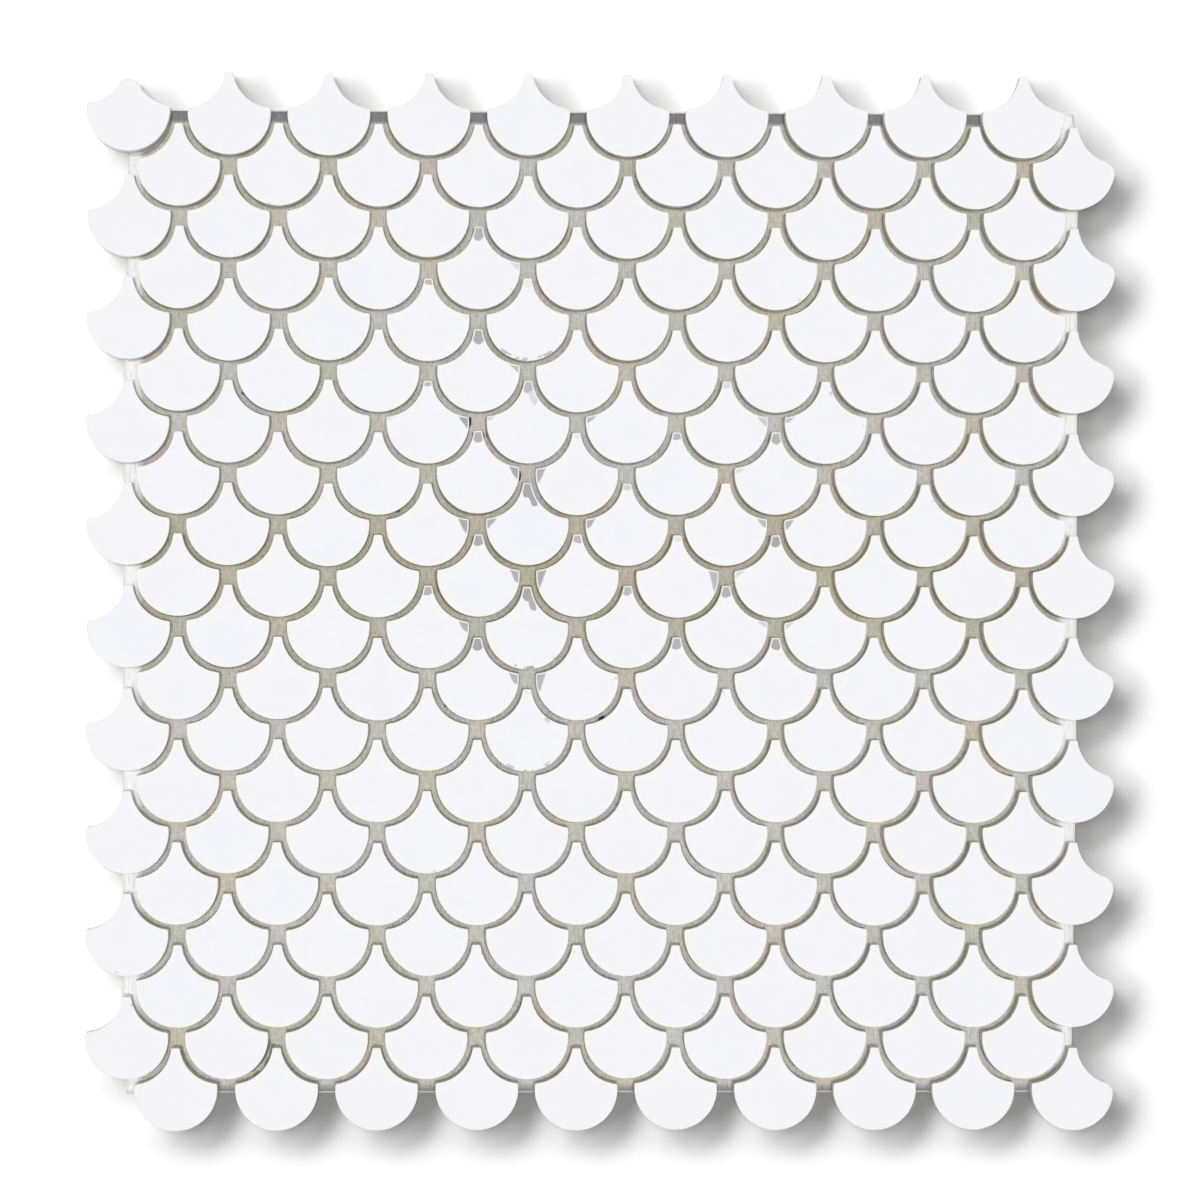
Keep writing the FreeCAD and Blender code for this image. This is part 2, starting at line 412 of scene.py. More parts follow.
# Each layer is (tint, how its clouds are moved, noise where it starts, noise where it is full).
TINT_LAYERS = (
    (GREY_GREEN, (7.0, -51.0, 0), 0.44, 0.60),
    (OLIVE, (0, 0, 0), 0.47, 0.62),
    (OCHRE, (61.0, 17.0, 0), 0.52, 0.66),
    (ROSE, (-33.0, 45.0, 0), 0.54, 0.66),
)
BELT_TINT, BELT_START, BELT_END = (0.92, 0.885, 0.78, 1), (-22.0, 4.0), (22.0, 34.0)
UPPER_TINT, UPPER_START = (0.955, 0.95, 0.94, 1), (-40.0, -15.0)
ROSE_SPOT, SPOT_FADE, SPOT_STRENGTH = (-31.0, 45.0, 0), (7.0, 14.0), 0.8

stain, given, out = group("glue stain", [("Place", VECTOR), ("Scale", FLOAT, 0.05)], [("Colour", COLOUR)])
place = given["Place"]
colour = TAUPE
for tint, shift, low, high in TINT_LAYERS:
    patch_inputs = {"Place": mapped(stain, place, shift=shift), "Scale": given["Scale"]}
    patch = use(stain, clouds, {**patch_inputs, "Low": low, "High": high})["Mask"]
    colour = blend_colours(stain, times(stain, patch, TINT_STRENGTH), colour, tint)
up_sheet = axis(stain, place, "Y")
belt = times(stain, above(stain, up_sheet, *BELT_START), below(stain, up_sheet, *BELT_END))
colour = blend_colours(stain, belt, colour, tinted(stain, colour, BELT_TINT))
upper = above(stain, up_sheet, *UPPER_START)
colour = blend_colours(stain, upper, colour, tinted(stain, colour, UPPER_TINT))
rosy = below(stain, vector_math(stain, "DISTANCE", place, ROSE_SPOT), *SPOT_FADE)
colour = blend_colours(stain, times(stain, rosy, SPOT_STRENGTH), colour, ROSE)
fill(stain, out["Colour"], colour)
print("stain of", len(TINT_LAYERS), "tints in", len(stain.nodes), "nodes")

# %% Woven look
UPRIGHT_LINES, LEVEL_LINES = (1.9, 0.30, 0), (0.6, 1.9, 0)
LINE_DETAIL = 2.0

woven, given, out = group("woven look", [("Place", VECTOR), ("Depth", FLOAT, 0.3)], [("Shade", FLOAT)])
line_sets = [
    noise(woven, mapped(woven, given["Place"], scale), 1.0, LINE_DETAIL)
    for scale in (UPRIGHT_LINES, LEVEL_LINES)
]
centred = math_node(woven, "SUBTRACT", math_node(woven, "ADD", *line_sets), 1.0)
fill(woven, out["Shade"], math_node(woven, "ADD", times(woven, centred, given["Depth"]), 1.0))
print("groups:", [tree.name for tree in bpy.data.node_groups])

# %% [markdown]
# ## The stone
#
# The stone is a very white marble with a cool cast. Each scale comes from another part of
# the slab, so some lean to blue and some to rose. The honed face is dull and even. The
# water jet leaves a cream rim where the edge is eased, and fine upright lines on the
# sides. Near some necks in the middle of the sheet a thin grey film of dried glue was left
# on tips and shoulders. Rim, film and sides could be separate materials on separate
# faces, but then each border would be a hard line of faces. One material that knows the
# distance from the rim can fade from one to the other.
#
# The mesh tells the material where it is: `plan` is the place on the scale in
# millimetres, `slab` is the place in the slab, `edge` is the distance from the rim, and
# `tone` is the scale's own lean. `marks` says how much grey film its tip, left shoulder
# and right shoulder carry, and `lengths` how far each of the three reaches. `leg` is for
# the few tips whose film runs on to the lower right, and `foot` for dabs at the lower rim.

# %% How far in from the rim a place is
from_rim, given, out = group(
    "distance from the rim",
    [
        ("Plan", VECTOR),
        ("Round radius", FLOAT, 12.0),
        ("Flank radius", FLOAT, 12.0),
        ("Flank centre", VECTOR),
        ("Tip rise", FLOAT, 12.0),
    ],
    [("Distance", FLOAT), ("From round", FLOAT)],
)
flat = vector_math(from_rim, "MULTIPLY", given["Plan"], (1, 1, 0))
up_scale = axis(from_rim, flat, "Y")
to_round = math_node(from_rim, "SUBTRACT", given["Round radius"], vector_math(from_rim, "LENGTH", flat))
off_middle = axis(from_rim, vector_math(from_rim, "ABSOLUTE", flat), "X")
right_half = node(from_rim, "ShaderNodeCombineXYZ", {"X": off_middle, "Y": up_scale}).outputs["Vector"]
from_flank = vector_math(from_rim, "DISTANCE", right_half, given["Flank centre"])
to_flank = math_node(from_rim, "SUBTRACT", from_flank, given["Flank radius"])
to_tip_line = math_node(from_rim, "SUBTRACT", given["Tip rise"], up_scale)
nearest = math_node(from_rim, "MINIMUM", to_round, to_flank)
fill(from_rim, out["Distance"], math_node(from_rim, "MINIMUM", nearest, to_tip_line))
fill(from_rim, out["From round"], to_round)
print("distance from the rim in", len(from_rim.nodes), "nodes")

# %% Ovals and wedges for the grey film
SOFT = 0.13


def blob(tree, offsets, sizes, power=2.0):
    """1 inside an oval, 0 outside it, with a soft edge. A low power makes it pointed."""
    reach = 0.0
    for offset, size in zip(offsets, sizes):
        away = math_node(tree, "DIVIDE", math_node(tree, "ABSOLUTE", offset), size)
        reach = math_node(tree, "ADD", math_node(tree, "POWER", away, power), reach)
    return below(tree, reach, 1 - SOFT, 1 + SOFT)


def turned(tree, x, y, angle):
    """The same place in axes that are turned by an angle."""
    cosine, sine = math.cos(angle), math.sin(angle)
    across = math_node(tree, "ADD", times(tree, x, cosine), times(tree, y, sine))
    up = math_node(tree, "SUBTRACT", times(tree, y, cosine), times(tree, x, sine))
    return across, up


# %% Grey film on tips and shoulders
WANDER_SCALE, WANDER_SIZE = 0.45, (1.1, 1.1, 0)
TIP_HALF = 2.2
LEG_MIDDLE, LEG_SIZE, LEG_SLANT, LEG_POWER = (1.25, 8.0), (0.95, 3.0), math.radians(21), 2.6
WEDGE_TOP, WEDGE_WIDTH, WEDGE_POWER = 2.2, 2.9, 1.4
OFF_MIDDLE = (5.0, 6.0)
CLEAR_RIM = (0.18, 0.42)

film_marks, given, out = group(
    "grey film",
    [
        ("Plan", VECTOR),
        ("Place", VECTOR),
        ("Rim", FLOAT),
        ("From round", FLOAT),
        ("Amounts", VECTOR),
        ("Lengths", VECTOR),
        ("Leg", FLOAT),
        ("Foot", FLOAT),
    ],
    [("Mask", FLOAT)],
)
wander = noise(film_marks, given["Place"], WANDER_SCALE, 0.0, "Color")
wander = vector_math(film_marks, "SUBTRACT", wander, (0.5, 0.5, 0.5))
shifted = vector_math(film_marks, "MULTIPLY_ADD", wander, WANDER_SIZE, given["Plan"])
x, y = axis(film_marks, shifted, "X"), axis(film_marks, shifted, "Y")

below_tip = math_node(film_marks, "SUBTRACT", y, tip_rise / MM)
tip_blob = blob(film_marks, (x, below_tip), (TIP_HALF, axis(film_marks, given["Lengths"], "X")))
total = times(film_marks, tip_blob, axis(film_marks, given["Amounts"], "X"))
from_middle = [math_node(film_marks, "SUBTRACT", *pair) for pair in zip((x, y), LEG_MIDDLE)]
leg = blob(film_marks, turned(film_marks, *from_middle, LEG_SLANT), LEG_SIZE, LEG_POWER)
total = math_node(film_marks, "MAXIMUM", total, times(film_marks, leg, given["Leg"]))
below_shoulder = math_node(film_marks, "SUBTRACT", y, WEDGE_TOP)
for part, side in (("Y", -1.0), ("Z", 1.0)):
    on_side = above(film_marks, times(film_marks, x, side), *OFF_MIDDLE)
    wedge_size = (WEDGE_WIDTH, axis(film_marks, given["Lengths"], part))
    wedge = blob(film_marks, (given["From round"], below_shoulder), wedge_size, WEDGE_POWER)
    wedge = times(film_marks, wedge, axis(film_marks, given["Amounts"], part))
    total = math_node(film_marks, "MAXIMUM", total, times(film_marks, wedge, on_side))
total = times(film_marks, total, above(film_marks, given["Rim"], *CLEAR_RIM))
print("tip, leg and shoulders in", len(film_marks.nodes), "nodes")

# %% Dabs at the lower rim
FOOT_LINE, FOOT_RIM = (-9.0, -8.0), (0.7, 1.1)
DAB_LOOK = {"Scale": 0.30, "Detail": 1.0, "Low": 0.50, "High": 0.56}

dabs = use(film_marks, clouds, {"Place": given["Place"], **DAB_LOOK})["Mask"]
low_part = below(film_marks, y, *FOOT_LINE)
thin_rim = below(film_marks, given["From round"], *FOOT_RIM)
foot = times(film_marks, times(film_marks, low_part, thin_rim), dabs)
foot = times(film_marks, foot, given["Foot"])
fill(film_marks, out["Mask"], math_node(film_marks, "MAXIMUM", total, foot))
print("grey film in", len(film_marks.nodes), "nodes")

# %% White stone: the slab's own colour
COOL_WHITE = (0.885, 0.887, 0.925, 1)
BLUE_WHITE = (0.855, 0.870, 0.925, 1)
ROSE_WHITE = (0.895, 0.870, 0.905, 1)
VEIN_GREY = (0.80, 0.81, 0.84, 1)
CLOUD_SHARE, VEIN_SHARE = 0.55, 0.10
CLOUD_LOOK = {"Scale": 0.055, "Detail": 4.0, "Low": 0.42, "High": 0.66}
VEIN_LOOK = {"Scale": 0.13, "Detail": 6.0, "Low": 0.5, "High": 0.72}

stone, tree, shader = material("white_stone")
plan = attribute(tree, "plan", "Vector")
slab = attribute(tree, "slab", "Vector")
cloud = use(tree, clouds, {"Place": slab, **CLOUD_LOOK})["Mask"]
vein = use(tree, clouds, {"Place": slab, **VEIN_LOOK})["Mask"]
own = blend_colours(tree, attribute(tree, "tone"), BLUE_WHITE, ROSE_WHITE)
colour = blend_colours(tree, times(tree, cloud, CLOUD_SHARE), COOL_WHITE, own)
colour = blend_colours(tree, times(tree, vein, VEIN_SHARE), colour, VEIN_GREY)
print("slab's colour in", len(tree.nodes), "nodes")

# %% White stone: rim, grey film and smears
CREAM_RIM = (0.91, 0.905, 0.85, 1)
GREY_FILM = (0.34, 0.35, 0.36, 1)
RIM_FADE, RIM_SHARE, RIM_LOSS = (0.10, 1.5), 0.8, -0.65
PAST_SIDE, PAST_END = (137.5, 140.5), (145.5, 148.0)
SMEAR_LOOK = {"Scale": 0.21, "Detail": 2.0, "Low": 0.72, "High": 0.78}
SMEAR_FADE, SMEAR_SHARE = (0.7, 1.4), 0.5

outline_sizes = {
    "Round radius": round_radius / MM,
    "Flank radius": FLANK_RADIUS / MM,
    "Flank centre": (flank_centre.x / MM, flank_centre.y / MM, 0),
    "Tip rise": tip_rise / MM,
}
distances = use(tree, from_rim, {"Plan": plan, **outline_sizes})
in_from_rim = distances["Distance"]
mark_inputs = {
    "Plan": plan,
    "Place": slab,
    "Rim": in_from_rim,
    "From round": distances["From round"],
    "Amounts": attribute(tree, "marks", "Vector"),
    "Lengths": attribute(tree, "lengths", "Vector"),
    "Leg": attribute(tree, "leg"),
    "Foot": attribute(tree, "foot"),
}
here = node(tree, "ShaderNodeTexCoord").outputs["Object"]
on_sheet = mapped(tree, here, (1 / MM, 1 / MM, 1 / MM))
past_side = above(tree, math_node(tree, "ABSOLUTE", axis(tree, on_sheet, "X")), *PAST_SIDE)
past_end = above(tree, math_node(tree, "ABSOLUTE", axis(tree, on_sheet, "Y")), *PAST_END)
past_mesh = math_node(tree, "MAXIMUM", past_side, past_end)
rim = below(tree, in_from_rim, *RIM_FADE)
rim_share = math_node(tree, "MULTIPLY_ADD", past_mesh, RIM_LOSS, RIM_SHARE)
colour = blend_colours(tree, times(tree, rim, rim_share), colour, CREAM_RIM)
colour = blend_colours(tree, use(tree, film_marks, mark_inputs)["Mask"], colour, GREY_FILM)
smears = use(tree, clouds, {"Place": slab, **SMEAR_LOOK})["Mask"]
smears = times(tree, smears, below(tree, in_from_rim, *SMEAR_FADE))
colour = blend_colours(tree, times(tree, smears, SMEAR_SHARE), colour, GREY_FILM)
print("with rim, film and smears", len(tree.nodes), "nodes")

# %% White stone: sawn sides and their soil
SAWN_SIDE = (0.905, 0.90, 0.865, 1)
SAWN_LINE = (0.82, 0.81, 0.75, 1)
FOOT_SHADE = (0.84, 0.82, 0.78, 1)
LINE_STRETCH, LINE_SHARE = (2.2, 2.2, 0.12), 0.35
LINE_LOOK = {"Scale": 1.0, "Detail": 3.0, "Low": 0.3, "High": 0.7}
SOIL_LOOK = {"Reach": 3.0, "Amount": 1.0}
SIDE_FADE = (0.0, 0.06)

sawn = use(tree, clouds, {"Place": mapped(tree, slab, LINE_STRETCH), **LINE_LOOK})["Mask"]
side_colour = blend_colours(tree, times(tree, sawn, LINE_SHARE), SAWN_SIDE, SAWN_LINE)
soil = use(tree, dirt, {"Place": slab, "Height": axis(tree, plan, "Z"), **SOIL_LOOK})["Mask"]
soil = times(tree, soil, inverse(tree, past_mesh))
foot_colour = tinted(tree, use(tree, stain, {"Place": on_sheet})["Colour"], FOOT_SHADE)
side_colour = blend_colours(tree, soil, side_colour, foot_colour)
on_side = below(tree, attribute(tree, "edge"), *SIDE_FADE)
colour = blend_colours(tree, on_side, colour, side_colour)
fill(tree, shader.inputs["Base Color"], colour)
print("with the sides", len(tree.nodes), "nodes")

# %% White stone: gloss and relief
CRYSTAL_LOOK = {"Scale": 3.0, "Coarse": 0.5}
HONED, CRYSTAL_SPREAD, SIDE_ROUGHER = 0.34, 0.16, 0.35
STONE_SPECULAR = 0.35
LINE_DEPTH = 1.4
STONE_RELIEF = (0.35, 0.05 * MM)

crystals = use(tree, grain, {"Place": slab, **CRYSTAL_LOOK})["Height"]
rough = math_node(tree, "MULTIPLY_ADD", crystals, CRYSTAL_SPREAD, HONED)
rough = math_node(tree, "ADD", rough, times(tree, on_side, SIDE_ROUGHER))
fill(tree, shader.inputs["Roughness"], rough)
shader.inputs["Specular IOR Level"].default_value = STONE_SPECULAR
relief = math_node(tree, "MULTIPLY_ADD", times(tree, sawn, on_side), LINE_DEPTH, crystals)
add_bump(tree, shader, relief, *STONE_RELIEF)
print("stone has", len(tree.nodes), "nodes")

# %% [markdown]
# ## The outline of a scale
#
# The outline is four curves: a round lower end, two hollow flanks and a short flat tip.
# Each flank is an arc about a point on the line to the centre of the scale above, so the
# joint between the two is widest on that line.
#
# A moved-in copy of the outline is needed for every ring of the eased edge. Moving points
# along their normals would tangle at the sharp corners. It is cleaner to draw the same
# curves again with changed radii: the round end shrinks and the flanks' circles grow. The
# points then pair up one to one.

# %% Arcs and rounded corners
CORNER_STEPS = 4


def arc_points(centre, radius, start, end, steps, trim):
    """Points on an arc from start to end, both ends cut short by trim."""
    cut = math.copysign(trim / radius, end - start)
    angles = np.linspace(start + cut, end - cut, steps + 1)
    return np.stack((centre[0] + radius * np.cos(angles), centre[1] + radius * np.sin(angles)), 1)


def round_corner(before, corner, after):
    """The points that lead round a corner, between two curves that stop short of it."""
    share = np.linspace(0, 1, CORNER_STEPS + 1)[1:-1, None]
    return (1 - share) ** 2 * before + 2 * share * (1 - share) * corner + share**2 * after


# %% Draw the outline
ROUND_STEPS = 40
FLANK_STEPS = 14
SHOULDER_TRIM = 0.45 * MM
TIP_TRIM = 0.45 * MM


def outline(inset=0.0):
    """The scale's outline, anticlockwise from its left shoulder, moved in by inset."""
    radius = round_radius - inset
    flank = FLANK_RADIUS + inset
    tip_y = tip_rise - inset
    along = (radius**2 - flank**2 + flank_reach**2) / (2 * flank_reach)
    across = math.sqrt(radius**2 - along**2)
    way = to_next.normalized()
    shoulder = np.array([along * way.x + across * way.y, along * way.y - across * way.x])
    tip = np.array([flank_centre.x - math.sqrt(flank**2 - (flank_centre.y - tip_y) ** 2), tip_y])
    lift = math.atan2(shoulder[1], shoulder[0])
    to_shoulder = math.atan2(shoulder[1] - flank_centre.y, shoulder[0] - flank_centre.x)
    to_tip = math.atan2(tip_y - flank_centre.y, tip[0] - flank_centre.x)
    if to_tip > 0:
        to_tip -= 2 * math.pi

    below_arc = arc_points((0, 0), radius, math.pi - lift, 2 * math.pi + lift, ROUND_STEPS, SHOULDER_TRIM)
    right = arc_points(flank_centre, flank, to_shoulder, to_tip, FLANK_STEPS, SHOULDER_TRIM)
    left = right[::-1] * (-1, 1)
    top = np.array([[tip[0] - TIP_TRIM, tip_y], [0, tip_y], [TIP_TRIM - tip[0], tip_y]])
    parts = [
        below_arc,
        round_corner(below_arc[-1], shoulder, right[0]),
        right,
        round_corner(right[-1], tip, top[0]),
        top,
        round_corner(top[-1], tip * (-1, 1), left[0]),
        left,
        round_corner(left[-1], shoulder * (-1, 1), below_arc[0]),
    ]
    return np.concatenate(parts)


OUTLINE_POINTS = len(outline())
outline_length = np.linalg.norm(np.diff(outline(), axis=0, append=outline()[:1]), axis=1).sum()
print(f"{OUTLINE_POINTS} points, {outline_length / MM:.1f} mm round")

# %% [markdown]
# ## The broken tip
#
# The first scale of the first course has lost its tip. Cutting a piece off with a Boolean
# would leave a scale of another make-up. The points above the break are spread along a
# blunt round nose instead, so that this scale has as many points as the others and can be
# built by the same code.

# %% Break a tip
NOSE_LOSS = 3.0 * MM
NOSE_RADIUS = 4.0 * MM
NOSE_CENTRE = np.array([0, tip_rise - NOSE_LOSS - NOSE_RADIUS])
LOST_ABOVE = 0.4 * NOSE_RADIUS


def lost_points():
    """Which points of the outline lie past the break."""
    away = outline() - NOSE_CENTRE
    return np.flatnonzero((np.hypot(*away.T) > NOSE_RADIUS) & (away[:, 1] > LOST_ABOVE))


def break_tip(points, inset, knocks):
    """Bring the lost points back to the round nose, made uneven by small knocks."""
    lost = lost_points()
    away = points - NOSE_CENTRE
    first, last = away[lost[0] - 1], away[lost[-1] + 1]
    start, end = math.atan2(first[1], first[0]), math.atan2(last[1], last[0])
    angles = np.linspace(start, end, len(lost) + 2)[1:-1]
    ends = np.linspace(np.hypot(*first), np.hypot(*last), len(lost) + 2)[1:-1]
    bulge = np.sin(np.linspace(0, math.pi, len(lost) + 2)[1:-1]) ** 0.5
    radius = ends + bulge * (NOSE_RADIUS - inset - ends) - knocks[lost]
    blunt = points.copy()
    blunt[lost] = NOSE_CENTRE + radius[:, None] * np.stack((np.cos(angles), np.sin(angles)), 1)
    return blunt


print(len(lost_points()), "points lie past the break")

# %% [markdown]
# ## Small faults of an edge
#
# No edge that a water jet cut is quite true. It wavers by a few hundredths of a
# millimetre, and small knocks have taken a little more off here and there. Noise on the
# finished mesh could do it, but it would move each point by itself and look like grit. A
# few waves that run round the outline give one slow line instead. There are no nicks
# beside the tip and the shoulders, where a scale is too narrow to lose more. The
# outermost scales on the right have softer outer shoulders.

# %% Waver, nicks and soft shoulders
NICK_SIZES, NICK_WIDTHS = (0.08, 0.3), (0.015, 0.05)
CLEAR_OF_TIP = 2 * MM
CLEAR_OF_SHOULDER = 2.5 * MM
SOFT_STEPS = 3

around = np.linspace(0, 2 * math.pi, OUTLINE_POINTS, endpoint=False)
off_axis, rise_at = np.abs(outline()[:, 0]), outline()[:, 1]
beside_tip = rise_at > tip_rise - CLEAR_OF_TIP
beside_shoulder = (off_axis > round_radius - CLEAR_OF_SHOULDER) & (rise_at > 0)


def waver(rng, size, slowest=2, fastest=9):
    """A smooth closed wave round the outline, of about the given size."""
    wave = np.zeros(OUTLINE_POINTS)
    for turns in range(slowest, fastest):
        wave += rng.normal() / turns * np.cos(turns * around + rng.uniform(0, 2 * math.pi))
    return size * wave


def nicks(rng, chance):
    """How much more of the edge is gone at each point, because of small knocks."""
    gone = np.zeros(OUTLINE_POINTS)
    for _ in range(rng.poisson(chance)):
        where = rng.uniform(0, 2 * math.pi)
        width = rng.uniform(*NICK_WIDTHS)
        away = np.abs((around - where + math.pi) % (2 * math.pi) - math.pi)
        gone += rng.uniform(*NICK_SIZES) * MM * np.exp(-((away / width) ** 2))
    gone[beside_tip | beside_shoulder] = 0
    return gone


def soften_shoulder(points):
    """Round the right shoulder off, over a few steps to each side of its corner."""
    start, end = ROUND_STEPS, ROUND_STEPS + CORNER_STEPS
    corner = 2 * points[(start + end) // 2] - (points[start] + points[end]) / 2
    first, last = start - SOFT_STEPS, end + SOFT_STEPS
    share = np.linspace(0, 1, last - first + 1)[:, None]
    ends = (1 - share) ** 2 * points[first] + share**2 * points[last]
    softened = points.copy()
    softened[first : last + 1] = ends + 2 * share * (1 - share) * corner
    return softened


print(np.count_nonzero(~(beside_tip | beside_shoulder)), "points can be nicked")

# %% [markdown]
# ## One scale
#
# A scale is built from rings, from the underside up: the side wall, the eased edge and
# the face. A bevel modifier would ease every edge alike. Here two outlines, one full size
# and one moved in, are blended point by point, so the eased edge can be wider in some
# places than in others. That is how small nicks are made, and where the grinding took
# more off. The wall stands a hair outside the outline, so that the face inside the eased
# edge is as wide as on the real scale.

# %% Build the rings of a scale
DEEPEST_INSET = 0.8 * MM
STAND_OUT = 0.09 * MM
EASED_EDGE, EASED_SPREAD, EASED_WAVER = 0.11 * MM, (0.8, 1.3), 0.25
EASED_LEAST, EASED_MOST, EASED_BY_BREAK = 0.05 * MM, 0.5 * MM, 0.1 * MM
WAVER = 0.035 * MM
NICK_CHANCE = 1.6
KNOCK_SIZE, KNOCK_TURNS = 0.25 * MM, (8, 30)
FOOT_BEVEL = 0.15 * MM
BELOW_EDGE = 0.4 * MM
FACE_BAND = 0.28 * MM
QUARTER_ROUND = 0.29
RINGS = 8
stone_height = face - seat


def scale_rings(rng, broken, softened):
    """The rings of one scale: places, and each point's distance in from the rim."""
    full, inner = outline(), outline(DEEPEST_INSET)
    eased = EASED_EDGE * rng.uniform(*EASED_SPREAD) * (1 + waver(rng, EASED_WAVER))
    eased = eased + nicks(rng, NICK_CHANCE)
    if broken:
        knocks = np.abs(waver(rng, KNOCK_SIZE, *KNOCK_TURNS))
        full, inner = break_tip(full, 0.0, knocks), break_tip(inner, DEEPEST_INSET, knocks)
        eased[lost_points()] += EASED_BY_BREAK
    if softened:
        full, inner = soften_shoulder(full), soften_shoulder(inner)
    eased = np.clip(eased, EASED_LEAST, EASED_MOST)
    edge_wave = waver(rng, WAVER) - STAND_OUT
    side_wave = waver(rng, WAVER) - STAND_OUT
    support = np.minimum(eased + FACE_BAND, DEEPEST_INSET)
    level = 0 * eased

    rings = (
        (FOOT_BEVEL + edge_wave, level, 0),
        (edge_wave, level + FOOT_BEVEL, 0),
        (side_wave, level + stone_height / 2, 0),
        (edge_wave, stone_height - eased - BELOW_EDGE, 0),
        (edge_wave, stone_height - eased, 0),
        (edge_wave + QUARTER_ROUND * eased, stone_height - QUARTER_ROUND * eased, 0.5),
        (edge_wave + eased, level + stone_height, 1),
        (edge_wave + support, level + stone_height, 1),
    )
    places, edges = [], []
    for inset, rise, on_face in rings:
        share = (inset / DEEPEST_INSET)[:, None]
        places.append(np.column_stack(((1 - share) * full + share * inner, rise)))
        edges.append(on_face * inset / MM)
    return np.concatenate(places), np.concatenate(edges)


# %% Join the rings with faces
def ring_quads(rings):
    """The faces that join this many rings, each to the next."""
    here = np.arange(OUTLINE_POINTS)
    after = np.roll(here, -1)
    band = np.column_stack((here, after, after + OUTLINE_POINTS, here + OUTLINE_POINTS))
    return np.concatenate([band + ring * OUTLINE_POINTS for ring in range(rings - 1)])


def end_fans():
    """A fan of triangles for the underside of a scale and one for its face."""
    here = np.arange(OUTLINE_POINTS)
    after = np.roll(here, -1)
    bottom, top = RINGS * OUTLINE_POINTS, RINGS * OUTLINE_POINTS + 1
    last = (RINGS - 1) * OUTLINE_POINTS
    underside = np.column_stack((after, here, np.full_like(here, bottom)))
    face_fan = np.column_stack((here + last, after + last, np.full_like(here, top)))
    return np.concatenate((underside, face_fan))


scale_quads, scale_fans = ring_quads(RINGS), end_fans()
POINTS_PER_SCALE = RINGS * OUTLINE_POINTS + 2
print(len(scale_quads) * 2 + len(scale_fans), "triangles in a scale")

# %% [markdown]
# ## The grey marks
#
# The grey film was left by hand on a few scales near the middle of the sheet. Chance
# would put it anywhere, so the scales that carry it are listed, by course and by place in
# the course. Each entry says how much film there is and how far it reaches.

# %% Grey marks, as (course, scale): (share, length in mm)
NO_MARK = (0.0, 1.0)
TIP_MARKS = {
    (4, 4): (0.90, 4.1), (5, 4): (0.80, 1.8), (5, 5): (0.15, 2.5), (6, 4): (0.95, 4.4),
    (7, 4): (0.80, 1.5), (7, 5): (0.80, 3.4), (7, 7): (0.45, 2.1), (8, 4): (0.90, 3.6),
    (8, 5): (0.20, 1.5), (8, 6): (0.85, 1.9), (8, 7): (0.90, 3.6), (9, 5): (1.00, 4.2),
    (9, 6): (0.50, 1.9), (10, 4): (0.95, 3.4), (10, 5): (0.80, 2.5), (10, 6): (0.30, 1.9),
    (10, 7): (1.00, 3.7), (11, 4): (0.90, 3.0), (11, 5): (1.00, 4.0), (11, 6): (0.80, 2.8),
    (11, 7): (0.90, 3.4), (12, 4): (1.00, 3.9), (12, 6): (0.90, 3.3), (12, 7): (0.95, 3.4),
    (13, 5): (0.20, 1.5),
}
LEFT_MARKS = {
    (7, 4): (0.30, 1.8), (7, 5): (0.50, 2.0), (7, 6): (0.80, 2.8), (7, 8): (0.70, 2.6),
    (8, 5): (0.90, 5.4), (8, 7): (0.35, 2.6), (9, 5): (0.90, 3.6), (9, 6): (0.90, 3.8),
    (9, 8): (0.85, 3.8), (10, 5): (0.95, 6.0), (10, 7): (0.40, 3.0), (11, 8): (0.50, 2.4),
    (12, 5): (0.85, 6.0),
}
RIGHT_MARKS = {
    (4, 4): (0.35, 3.0), (5, 4): (0.20, 2.0), (6, 4): (0.70, 2.8), (7, 4): (1.00, 4.2),
    (7, 7): (0.60, 3.4), (8, 4): (1.00, 4.2), (9, 4): (1.00, 4.9), (9, 7): (0.80, 3.4),
    (10, 4): (0.90, 4.6), (10, 6): (0.80, 7.0), (11, 4): (0.90, 4.2), (11, 7): (0.50, 2.8),
    (12, 4): (0.85, 4.0),
}
LEGS = {(7, 5): 0.35, (9, 5): 1.0, (11, 5): 0.9}
FOOT_DABS = {(5, 5): 0.7, (11, 5): 1.0, (13, 5): 0.6}
print(len(TIP_MARKS), "tips and", len(LEFT_MARKS) + len(RIGHT_MARKS), "shoulders carry film")

# %% [markdown]
# ## The courses
#
# Ten scales make a course, and each course is one mesh, which stands for its CAD node.
# Copies of one scale would be lighter, but two real scales are never alike. Each one is
# turned, moved and tipped by a hair, and comes from its own part of the slab. The broken
# scale has slipped up a little and turned.

# %% Mesh helpers
def store(mesh, name, values):
    """Keep one value or one vector for each point of a mesh."""
    kind, field = ("FLOAT", "value") if np.ndim(values) == 1 else ("FLOAT_VECTOR", "vector")
    layer = mesh.attributes.new(name, kind, "POINT")
    layer.data.foreach_set(field, np.ascontiguousarray(values, dtype=np.float32).ravel())


def make_piece(name, points, faces, finish):
    """Turn points and faces into a piece that rides on the sheet's one body."""
    mesh = bpy.data.meshes.new(name)
    mesh.from_pydata(points, [], faces)
    mesh.shade_smooth()
    mesh.materials.append(finish)
    piece = bpy.data.objects.new(name, mesh)
    bpy.context.collection.objects.link(piece)
    sheet_only.objects.link(piece)
    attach(piece, "root")
    return piece


# %% Set one scale on the mesh
LOOSE, SEAT_SPREAD = 0.10 * MM, 0.04 * MM
TURN = math.radians(0.3)
TIP_UP = math.radians(0.10)
SLIP, SLIP_TURN = 1.0 * MM, math.radians(-2)
SLAB_REACH = 500


